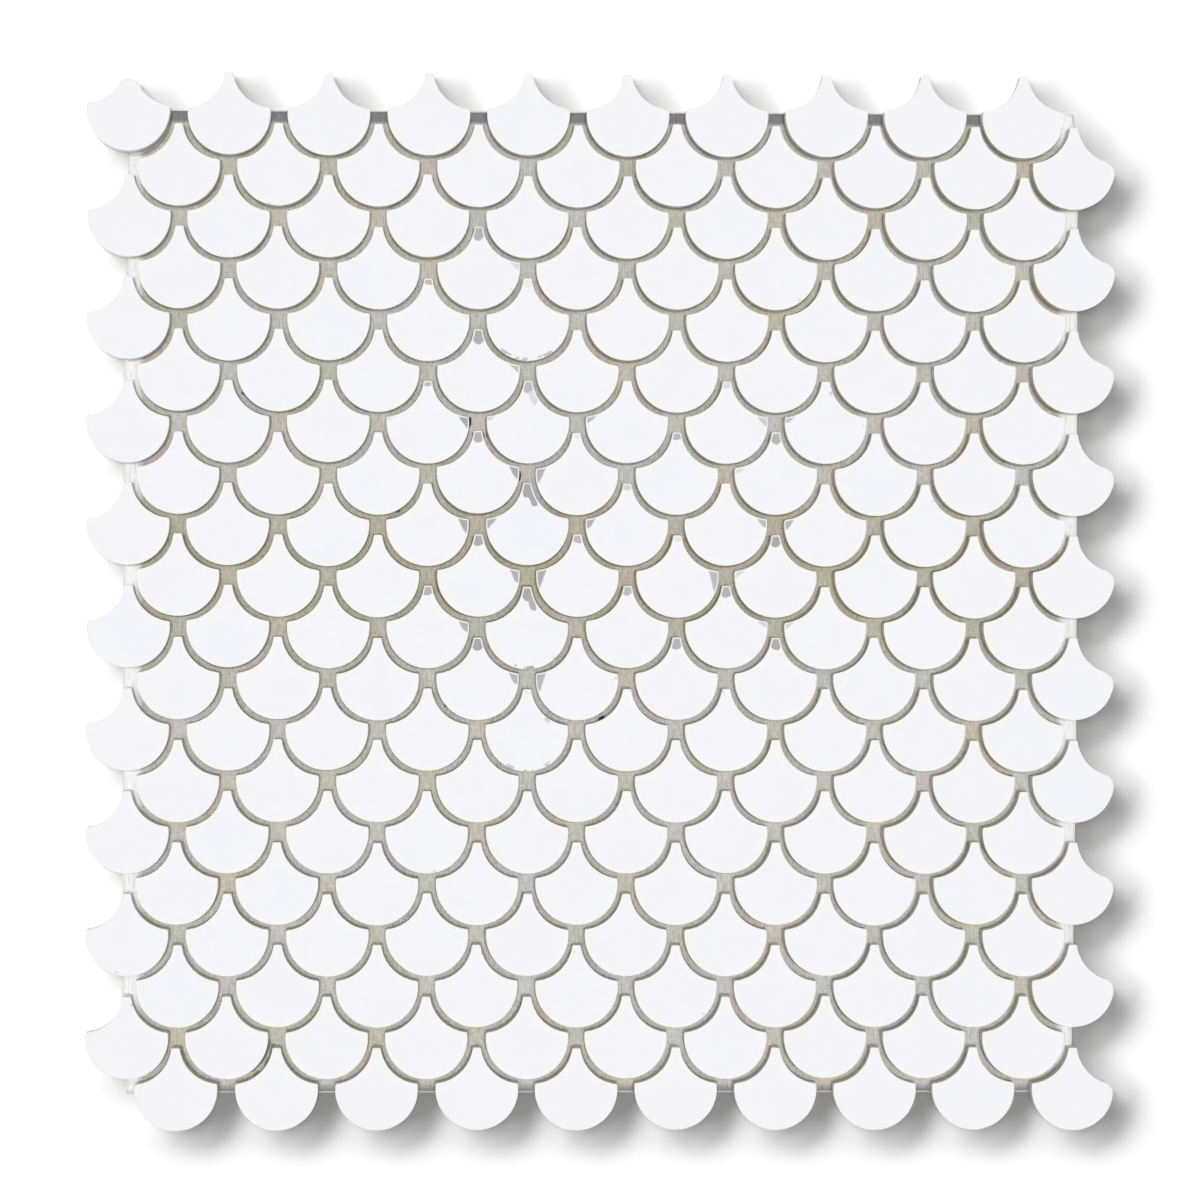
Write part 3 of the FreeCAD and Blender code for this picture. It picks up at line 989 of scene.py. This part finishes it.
def set_scale(rng, low, index, broken):
    """How a scale is turned, and where its centre lands."""
    turn = Matrix.Rotation(rng.normal(0, TURN) + broken * SLIP_TURN, 3, "Z")
    for name in "XY":
        turn = turn @ Matrix.Rotation(rng.normal(0, TIP_UP), 3, name)
    centre = np.array([
        low.x + round_radius + index * scale_pitch + rng.normal(0, LOOSE),
        low.y + round_radius + rng.normal(0, LOOSE) + broken * SLIP,
        seat + abs(rng.normal(0, SEAT_SPREAD)),
    ])
    return np.array(turn), centre


def cut_from_slab(rng, places):
    """Where in the slab a scale was cut: spun, and moved to a part of its own."""
    spin = rng.uniform(0, 2 * math.pi)
    cosine, sine = math.cos(spin), math.sin(spin)
    spun = np.array([[cosine, -sine, 0], [sine, cosine, 0], [0, 0, 1]])
    return places / MM @ spun.T + rng.uniform(-SLAB_REACH, SLAB_REACH, 3)


# %% Lay the courses
COURSE_SEED = 100
TONE_SPREAD = 1.6
MARK_KINDS = (TIP_MARKS, LEFT_MARKS, RIGHT_MARKS)
STORED = ("plan", "slab", "marks", "lengths", "leg", "foot", "edge", "tone")


def lay_course(number, node_name):
    """Build the ten scales of a course at the places that the frame gives."""
    rng = np.random.default_rng(COURSE_SEED + number)
    low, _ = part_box(node_name)
    points, quads, fans = [], [], []
    kept = {name: [] for name in STORED}
    for index in range(SCALES_PER_COURSE):
        broken = number == 1 and index == 0
        at_right_edge = number % 2 == 0 and index == SCALES_PER_COURSE - 1
        places, edge_values = scale_rings(rng, broken, at_right_edge)
        places = np.concatenate((places, [[0, 0, 0], [0, 0, stone_height]]))
        count = len(places)

        turn, centre = set_scale(rng, low, index, broken)
        points.append(places @ turn.T + centre)
        quads.append(scale_quads + index * POINTS_PER_SCALE)
        fans.append(scale_fans + index * POINTS_PER_SCALE)

        this_scale = (number, index + 1)
        shares, lengths = zip(*(marks_of.get(this_scale, NO_MARK) for marks_of in MARK_KINDS))
        kept["plan"].append(places / MM)
        kept["slab"].append(cut_from_slab(rng, places))
        kept["marks"].append(np.tile(shares, (count, 1)))
        kept["lengths"].append(np.tile(lengths, (count, 1)))
        kept["leg"].append(np.full(count, LEGS.get(this_scale, 0)))
        kept["foot"].append(np.full(count, FOOT_DABS.get(this_scale, 0)))
        kept["edge"].append(np.append(edge_values, (0, round_radius / MM)))
        kept["tone"].append(np.full(count, rng.beta(TONE_SPREAD, TONE_SPREAD)))
    faces = np.concatenate(quads).tolist() + np.concatenate(fans).tolist()
    piece = make_piece(f"scales_{number:02d}", np.concatenate(points), faces, stone)
    for name, values in kept.items():
        store(piece.data, name, np.concatenate(values))
    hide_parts(node_name)
    return piece


stone_pieces = [lay_course(number, name) for number, name in enumerate(courses, start=1)]
print(len(stone_pieces), "courses laid,", sum(len(p.data.polygons) for p in stone_pieces), "faces")

# %% [markdown]
# ## The backing mesh
#
# The backing is a light glass-fibre cloth in a plain weave. Its upright yarns are close
# together, and its cross yarns are flatter and twice as far apart, which is why the floor
# of the joints shows fine upright lines. A weave could be faked with bump, but this one
# can be seen from below and at the cut edges, so the yarns are real tubes that pass over
# and under each other. Tens of thousands of crossings are quick to make with arrays.

# %% Place the yarns
WARP_PITCH, WEFT_PITCH = 1.3 * MM, 2.5 * MM
WARP_DRIFT, WEFT_DRIFT = 0.16 * MM, 0.22 * MM
DRIFT_WAVES, DRIFT_TURNS, DRIFT_ACROSS = 6, (0.5, 4), (-3, 3)
DRIFT_SEED = 7

mesh_low, mesh_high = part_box("mesh_backing")
mesh_size = mesh_high - mesh_low


def spaced(low, high, pitch):
    """Evenly spaced places between two limits, centred, at about the given pitch."""
    count = int((high - low) / pitch)
    return (low + high) / 2 + pitch * (np.arange(count) - (count - 1) / 2)


def slow_drift(rng, count, steps, size):
    """A gentle sideways wander for each of many yarns, the same for neighbours in part."""
    along = np.linspace(0, 1, steps)[None, :]
    drift = np.zeros((count, steps))
    across = np.linspace(0, 1, count)[:, None]
    for _ in range(DRIFT_WAVES):
        turns, drift_across = rng.uniform(*DRIFT_TURNS), rng.uniform(*DRIFT_ACROSS)
        phase = rng.uniform(0, 2 * math.pi)
        drift += rng.normal() * np.sin(2 * math.pi * (turns * along + drift_across * across) + phase)
    return size * drift / 2


warp_at = spaced(mesh_low.x, mesh_high.x, WARP_PITCH)
weft_at = spaced(mesh_low.y, mesh_high.y, WEFT_PITCH)
warp_steps = np.concatenate(([mesh_low.y], weft_at, [mesh_high.y]))
weft_steps = np.concatenate(([mesh_low.x], warp_at, [mesh_high.x]))
rng = np.random.default_rng(DRIFT_SEED)
warp_drift = slow_drift(rng, len(warp_at), len(warp_steps), WARP_DRIFT)
weft_drift = slow_drift(rng, len(weft_at), len(weft_steps), WEFT_DRIFT)
print(len(warp_at), "upright yarns and", len(weft_at), "cross yarns")

# %% Draw the yarns as tubes
YARN_WAVE = 0.05 * MM
FRAY = 0.12 * MM
GIRTHS = (0.85, 1.12)


def yarn_tubes(rng, starts, steps, over_first, section, drift):
    """Points and faces of many parallel yarns. The first axis runs along, the second across."""
    width, depth, middle_rise, sides = section
    count = len(starts)
    number = np.arange(count)[:, None]
    step = np.arange(len(steps))[None, :]
    over = np.where((number + step + over_first) % 2 == 0, 1, -1)
    middle = np.empty((count, len(steps), 3))
    middle[..., 0] = steps[None, :]
    middle[..., 1] = starts[:, None] + drift
    middle[..., 2] = middle_rise + YARN_WAVE * over
    middle[:, 0, 0] -= rng.uniform(0, FRAY, count)
    middle[:, -1, 0] += rng.uniform(0, FRAY, count)
    turn = 2 * math.pi * (np.arange(sides) / sides + 0.25)
    girth = rng.uniform(*GIRTHS, (count, 1, 1))
    ring = np.stack((0 * turn, width / 2 * np.cos(turn), depth / 2 * np.sin(turn)), 1)
    points = middle[:, :, None, :] + ring[None, None] * girth[..., None]
    points = points.reshape(-1, 3)
    base = (number * len(steps) + step[:, :-1]).ravel()[:, None] * sides
    corner = np.arange(sides)[None, :]
    following = (corner + 1) % sides
    quads = np.stack((base + corner, base + following, base + following + sides, base + corner + sides), -1)
    first = (np.arange(count) * len(steps) * sides)[:, None] + np.arange(sides)[::-1][None, :]
    last = (np.arange(count) * len(steps) + len(steps) - 1)[:, None] * sides + corner
    faces = quads.reshape(-1, 4).tolist() + first.tolist() + last.tolist()
    along = np.repeat(middle[..., 0].ravel(), sides)
    about = np.tile(np.arange(sides) / sides, count * len(steps))
    own = np.repeat(rng.uniform(0, 1, count), len(steps) * sides)
    return points, faces, np.column_stack((along / MM, about, own))


# %% [markdown]
# ## Yarn and glue finishes
#
# The yarn is off-white glass fibre soaked in glue, with filaments along its length. The
# glue is a dull taupe film, and the stain gives it its patches. Along the top cut edge a
# dark shadow is painted on the film, along the bottom one it is darker grey, and at the two
# side edges it is nearly white. Both finishes have to change at the same places, so a group
# measures how far each place is from the cuts, and one helper paints either finish.

# %% Where the sheet's cut edges change the film
cut_edges, given, out = group(
    "cut edges",
    [("Place", VECTOR), ("Half width", FLOAT, 140.0), ("Half height", FLOAT, 144.0)],
    [("Top", FLOAT), ("Bottom", FLOAT), ("Sides", FLOAT), ("Very edge", FLOAT)],
)
up_sheet = axis(cut_edges, given["Place"], "Y")
off_side = math_node(cut_edges, "ABSOLUTE", axis(cut_edges, given["Place"], "X"))
from_top = math_node(cut_edges, "SUBTRACT", given["Half height"], up_sheet)
from_bottom = math_node(cut_edges, "ADD", given["Half height"], up_sheet)
from_side = math_node(cut_edges, "SUBTRACT", given["Half width"], off_side)
from_cut = math_node(cut_edges, "MINIMUM", from_top, from_bottom)
# Each change is full up to the first of its two distances, and gone at the second.
for title, distance, near, far in (
    ("Top", from_top, 2.8, 4.4),
    ("Bottom", from_bottom, 0.8, 3.2),
    ("Sides", from_side, 3.0, 4.9),
    ("Very edge", from_cut, 0.22, 0.42),
):
    fill(cut_edges, out[title], below(cut_edges, distance, near, far))
print(cut_edges.name, "in", len(cut_edges.nodes), "nodes")

# %% Painted shadow and other changes near the cuts
# Painted shadow along the top cut edge, as (colour, share).
TOP_PAINTED_SHADOW, TOP_SHADOW_SHARE = (0.17, 0.165, 0.19, 1), 0.85
# The film is made darker grey along the bottom cut edge, as (colour, share).
BOTTOM_DARKER, BOTTOM_SHARE = (0.26, 0.25, 0.245, 1), 0.75
SIDE_WHITE, SIDE_SHARE = (0.98, 0.98, 0.975, 1), 0.98
WEAVE_DEPTH = 0.50
MESH_HALVES = {"Half width": mesh_size.x / 2 / MM, "Half height": mesh_size.y / 2 / MM}


def weave_and_cut_edges(tree, colour, at):
    """Let the weave show, paint a shadow along the top cut, darken the bottom cut, and leave the sides
    pale.
    """
    colour = tinted(tree, colour, use(tree, woven, {"Place": at, "Depth": WEAVE_DEPTH})["Shade"])
    edges = use(tree, cut_edges, {"Place": at, **MESH_HALVES})
    # Painted shadow: the finish is darkened along the top cut.
    colour = blend_colours(tree, times(tree, edges["Top"], TOP_SHADOW_SHARE), colour, TOP_PAINTED_SHADOW)
    # Darker grey along the bottom cut.
    colour = blend_colours(tree, times(tree, edges["Bottom"], BOTTOM_SHARE), colour, BOTTOM_DARKER)
    pale = math_node(tree, "MAXIMUM", edges["Very edge"], edges["Sides"])
    return blend_colours(tree, times(tree, pale, SIDE_SHARE), colour, SIDE_WHITE)


# %% Glue
FILM_SHADE = (0.85, 0.84, 0.845, 1)
BEAD_SHADE = (0.77, 0.755, 0.735, 1)
THICK_GLUE, THICK_SHARE = (0.42, 0.40, 0.30, 1), 0.22
THICK_LOOK = {"Scale": 0.9, "Low": 0.3, "High": 0.75}
# Grime and painted shade in the corner where a bead meets the scale's wall.
CORNER_GRIME_AND_SHADE, CORNER_GRIME_AND_SHADE_SHARE = (0.45, 0.43, 0.36, 1), 0.45
SPECK = (0.05, 0.045, 0.05, 1)
GLUE_GRAIN = {"Scale": 2.5, "Coarse": 1.2}
GLUE_GLOSS, GLUE_SPREAD = 0.38, 0.25
GLUE_RELIEF = (0.6, 0.08 * MM)


def glue_material(name, shade, on_walls=False):
    """The film, or the beads that climb the scales. The shade makes the stain darker. On the beads, grime
    and painted shade darken it towards the wall.
    """
    made, tree, shader = material(name)
    at = attribute(tree, "sheet_at", "Vector")
    colour = tinted(tree, use(tree, stain, {"Place": at})["Colour"], shade)
    thick = use(tree, clouds, {"Place": at, **THICK_LOOK})["Mask"]
    colour = blend_colours(tree, times(tree, thick, THICK_SHARE), colour, THICK_GLUE)
    colour = weave_and_cut_edges(tree, colour, at)
    if on_walls:
        # """The film, or the beads that climb the scales. The shade makes the stain darker. On the beads,
        # grime and painted shade darken it towards the wall.
        # Grime and painted shade: the bead gets darker as it climbs into the corner at the wall.
        climbed = times(tree, attribute(tree, "climb"), CORNER_GRIME_AND_SHADE_SHARE)
        colour = blend_colours(tree, climbed, colour, tinted(tree, colour, CORNER_GRIME_AND_SHADE))
        colour = blend_colours(tree, attribute(tree, "speck"), colour, SPECK)
    fill(tree, shader.inputs["Base Color"], colour)
    texture = use(tree, grain, {"Place": at, **GLUE_GRAIN})["Height"]
    rough = math_node(tree, "MULTIPLY_ADD", texture, GLUE_SPREAD, GLUE_GLOSS)
    fill(tree, shader.inputs["Roughness"], rough)
    add_bump(tree, shader, texture, *GLUE_RELIEF)
    print(name, "has", len(tree.nodes), "nodes")
    return made


glue_film = glue_material("glue_film", FILM_SHADE)
glue_bead = glue_material("glue_bead", BEAD_SHADE, on_walls=True)

# %% Yarn
PALE_YARN, DULL_YARN = (0.90, 0.895, 0.87, 1), (0.80, 0.79, 0.73, 1)
YARN_SHADE = (0.89, 0.88, 0.885, 1)
SOAKED_LOOK = {"Scale": 0.12, "Detail": 3.0, "Low": 0.25, "High": 0.60}
SOAKED_LEAST, SOAKED_SPREAD = 0.8, 0.15
FILAMENTS = (0.8, 14.0, 40.0)
FILAMENT_LOOK = {"Scale": 1.0, "Coarse": 0.3}
YARN_GLOSS, YARN_SPREAD = 0.42, 0.2
YARN_RELIEF = (0.5, 0.04 * MM)

yarn, tree, shader = material("glass_yarn")
at = attribute(tree, "sheet_at", "Vector")
run = attribute(tree, "yarn_at", "Vector")
bare = blend_colours(tree, axis(tree, run, "Z"), PALE_YARN, DULL_YARN)
soaked = use(tree, clouds, {"Place": at, **SOAKED_LOOK})["Mask"]
soaked = math_node(tree, "MULTIPLY_ADD", soaked, SOAKED_SPREAD, SOAKED_LEAST)
colour = blend_colours(tree, soaked, bare, use(tree, stain, {"Place": at})["Colour"])
colour = weave_and_cut_edges(tree, tinted(tree, colour, YARN_SHADE), at)
fill(tree, shader.inputs["Base Color"], colour)
strands = use(tree, grain, {"Place": mapped(tree, run, FILAMENTS), **FILAMENT_LOOK})["Height"]
rough = math_node(tree, "MULTIPLY_ADD", strands, YARN_SPREAD, YARN_GLOSS)
fill(tree, shader.inputs["Roughness"], rough)
add_bump(tree, shader, strands, *YARN_RELIEF)
print("yarn has", len(tree.nodes), "nodes")

# %% Lay the mesh
# A yarn's section is (width, depth, height of its middle, number of sides).
UPRIGHT_SECTION = (0.56 * MM, 0.24 * MM, 0.255 * MM, 5)
CROSS_SECTION = (0.80 * MM, 0.14 * MM, 0.215 * MM, 4)


def lay_yarns(name, upright, part, seed):
    """One set of yarns, upright or across, as one piece. The part is a range of yarns."""
    rng = np.random.default_rng(seed)
    if upright:
        yarns = (warp_at[part], warp_steps, part.start, UPRIGHT_SECTION, warp_drift[part])
    else:
        yarns = (weft_at[part], weft_steps, part.start + 1, CROSS_SECTION, weft_drift[part])
    points, faces, runs = yarn_tubes(rng, *yarns)
    if upright:
        points = points[:, [1, 0, 2]]
        faces = [corners[::-1] for corners in faces]
    piece = make_piece(name, points, faces, yarn)
    store(piece.data, "yarn_at", runs)
    store(piece.data, "sheet_at", points / MM)
    piece.data.calc_loop_triangles()
    print(piece.name, len(piece.data.loop_triangles), "triangles")


middle_warp, middle_weft = len(warp_at) // 2, len(weft_at) // 2
lay_yarns("upright_yarns_left", True, slice(0, middle_warp), 21)
lay_yarns("upright_yarns_right", True, slice(middle_warp, len(warp_at)), 22)
lay_yarns("cross_yarns_lower", False, slice(0, middle_weft), 23)
lay_yarns("cross_yarns_upper", False, slice(middle_weft, len(weft_at)), 24)

# %% [markdown]
# ## The glue film
#
# Glue fills the weave from edge to edge. A plane with bump would look right from above
# only, and the film is seen at the cuts and from below as well. So it is a thin slab with
# a slightly uneven top and underside, made as two height fields joined at the rim. Along
# the two sides some glue was squeezed out past the yarns, by a little over a millimetre.

# %% Pour the film
FILM_TOP, FILM_UNDER = 0.30 * MM, 0.16 * MM
FILM_STEP = 2.0 * MM
FILM_SEED = 31
RIPPLE_COUNT, RIPPLE_SIZE, RIPPLE_LENGTHS = 24, 0.03 * MM, (5 * MM, 30 * MM)
# How far the glue is squeezed out, as (height on the sheet, reach), both in millimetres.
LEFT_SQUEEZE = ((-150, 0), (-138, 0), (-130, 1.3), (70, 1.3), (105, 0.3), (150, 0))
RIGHT_SQUEEZE = ((-150, 0), (-130, 0.2), (-45, 1.4), (140, 1.6), (143, 0), (150, 0))


def ripples(rng, x, y):
    """A smooth uneven surface, as a sum of waves in many directions."""
    height = np.zeros_like(x)
    for _ in range(RIPPLE_COUNT):
        length = rng.uniform(*RIPPLE_LENGTHS)
        way = rng.uniform(0, 2 * math.pi)
        phase = rng.uniform(0, 2 * math.pi)
        height += np.sin(2 * math.pi * (x * math.cos(way) + y * math.sin(way)) / length + phase)
    return RIPPLE_SIZE * height / 4


def pour_film():
    """The glue film as one closed slab."""
    rng = np.random.default_rng(FILM_SEED)
    columns = int(mesh_size.x / FILM_STEP) + 1
    rows = int(mesh_size.y / FILM_STEP) + 1
    across, y = np.meshgrid(np.linspace(0, 1, columns), np.linspace(mesh_low.y, mesh_high.y, rows))
    left = mesh_low.x - np.interp(y / MM, *np.transpose(LEFT_SQUEEZE)) * MM
    right = mesh_high.x + np.interp(y / MM, *np.transpose(RIGHT_SQUEEZE)) * MM
    x = left + (right - left) * across
    top = FILM_TOP + ripples(rng, x, y)
    under = FILM_UNDER + ripples(rng, x, y)
    points = np.concatenate([np.column_stack((x.ravel(), y.ravel(), z.ravel())) for z in (top, under)])
    numbers = np.arange(rows * columns).reshape(rows, columns)
    corners = (numbers[:-1, :-1], numbers[:-1, 1:], numbers[1:, 1:], numbers[1:, :-1])
    upper = np.stack([corner.ravel() for corner in corners], 1)
    lower = upper[:, ::-1] + rows * columns
    rim = np.concatenate((numbers[0, :], numbers[1:, -1], numbers[-1, -2::-1], numbers[-2:0:-1, 0]))
    after = np.roll(rim, -1)
    wall = np.stack((after, rim, rim + rows * columns, after + rows * columns), 1)
    faces = np.concatenate((upper, lower, wall[:, ::-1])).tolist()
    piece = make_piece("glue_film", points, faces, glue_film)
    store(piece.data, "sheet_at", points / MM)
    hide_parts("mesh_backing")
    return piece


film = pour_film()
print("film", len(film.data.polygons), "faces")

# %% [markdown]
# ## The beads of glue
#
# Where the film meets a scale, it climbs the wall a little. That bead could be sculpted,
# but it follows the scale's outline, so it is a narrow skirt round each scale, drawn with
# the same outline, moved out instead of in. A few dark specks are stuck in the beads. They
# need a wide bead to lie on, so it swells beside them.

# %% Specks, as (x, y, reach, how dark), in millimetres on the sheet
SPECKS = (
    (-39.2, 53.4, 1.5, 1), (-35.4, 49.3, 1.3, 1), (-24.4, 37.4, 1.5, 1), (-60.9, 26.7, 0.8, 1),
    (-46.1, -31.8, 0.8, 1), (-0.3, -34.2, 1.4, 1), (-107.0, 61.8, 0.8, 1),
    (-98.6, -133.2, 2.2, 0.45), (-100.5, -136.5, 2.2, 0.45), (-103.1, -139.5, 2.0, 0.4),
)


def near_speck(points, speck):
    """Which of these points lie within the reach of a speck."""
    return np.hypot(points[:, 0] / MM - speck[0], points[:, 1] / MM - speck[1]) < speck[2]


print(len(SPECKS), "specks")

# %% Run the beads
# Each ring is (how far out it lies in millimetres, its share of the climb).
BEAD_RINGS = ((0.45, 0.0), (0.22, 0.3), (0.07, 0.75), (-0.12, 1.0))
BEAD_SEED = 41
BEAD_TURNS = (2, 12)
SWELL_WAVER, SWELL_LIMITS = 0.45, (0.3, 1.7)
CLIMB_MIDDLE, CLIMB_WAVER, CLIMB_LIMITS = 0.75, 0.4, (0.25, 1.6)
BEAD_SUNK, BEAD_LEAST = 0.05 * MM, 0.2 * MM
SPECK_SWELL = 2.0


def run_beads():
    """A bead of glue round the foot of every scale, kept inside the mesh's cut edges."""
    rng = np.random.default_rng(BEAD_SEED)
    quads = ring_quads(len(BEAD_RINGS))
    full = outline()
    outlines = {out_by: outline(-out_by * MM) for out_by, _ in BEAD_RINGS}
    points, faces = [], []
    for number, name in enumerate(courses):
        low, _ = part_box(name)
        for index in range(SCALES_PER_COURSE):
            centre = np.array([low.x + round_radius + index * scale_pitch, low.y + round_radius])
            swell = np.clip(1 + waver(rng, SWELL_WAVER, *BEAD_TURNS), *SWELL_LIMITS)
            climb = np.clip(CLIMB_MIDDLE + waver(rng, CLIMB_WAVER, *BEAD_TURNS), *CLIMB_LIMITS) * MM
            for speck in SPECKS:
                swell[near_speck(full + centre, speck)] = SPECK_SWELL
            for out_by, rise in BEAD_RINGS:
                share = swell[:, None] if out_by > 0 else 1.0
                flat = full + (outlines[out_by] - full) * share + centre
                flat[:, 0] = np.clip(flat[:, 0], mesh_low.x, mesh_high.x)
                flat[:, 1] = np.clip(flat[:, 1], mesh_low.y, mesh_high.y)
                height = FILM_TOP - BEAD_SUNK + (BEAD_LEAST + climb) * rise
                points.append(np.column_stack((flat, height)))
            faces.append(quads + (number * SCALES_PER_COURSE + index) * len(BEAD_RINGS) * OUTLINE_POINTS)
    points = np.concatenate(points)
    piece = make_piece("glue_beads", points, np.concatenate(faces).tolist(), glue_bead)
    store(piece.data, "sheet_at", points / MM)
    dark = np.zeros(len(points))
    for speck in SPECKS:
        dark[near_speck(points, speck)] = speck[3]
    store(piece.data, "speck", dark)
    climbed = np.repeat([rise for _, rise in BEAD_RINGS], OUTLINE_POINTS)
    store(piece.data, "climb", np.tile(climbed, len(points) // len(climbed)))
    return piece


beads = run_beads()
print("beads", len(beads.data.polygons), "faces")

# %% [markdown]
# ## The floor
#
# The floor is a plain white board. More light would make it white, but it would bounce
# back to the sheet and wash the shadow out. So the board is lifted to full white by a
# little light of its own, which only the camera sees, and the shadow stays.

# %% Lay the floor
FLOOR_SIZE = 4.0
FLOOR_WHITE = (0.93, 0.93, 0.935, 1)
BOARD_ROUGH, BOARD_SPECULAR = 0.9, 0.1
CAMERA_LIFT = 0.01

floor_finish, tree, shader = material("white_floor")
shader.inputs["Base Color"].default_value = FLOOR_WHITE
shader.inputs["Roughness"].default_value = BOARD_ROUGH
shader.inputs["Specular IOR Level"].default_value = BOARD_SPECULAR
shader.inputs["Emission Color"].default_value = (1, 1, 1, 1)
seen = node(tree, "ShaderNodeLightPath").outputs["Is Camera Ray"]
fill(tree, shader.inputs["Emission Strength"], times(tree, seen, CAMERA_LIFT))

span = FLOOR_SIZE / 2
floor_corners = [(-span, -span, 0), (span, -span, 0), (span, span, 0), (-span, span, 0)]
floor_mesh = bpy.data.meshes.new("floor")
floor_mesh.from_pydata(floor_corners, [], [(0, 1, 2, 3)])
floor_mesh.materials.append(floor_finish)
floor = bpy.data.objects.new("floor", floor_mesh)
bpy.context.collection.objects.link(floor)
board_only.objects.link(floor)
floor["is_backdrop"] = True
print("floor", FLOOR_SIZE, "m wide")

# %% Measure the finished scene's bounds
low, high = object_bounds()
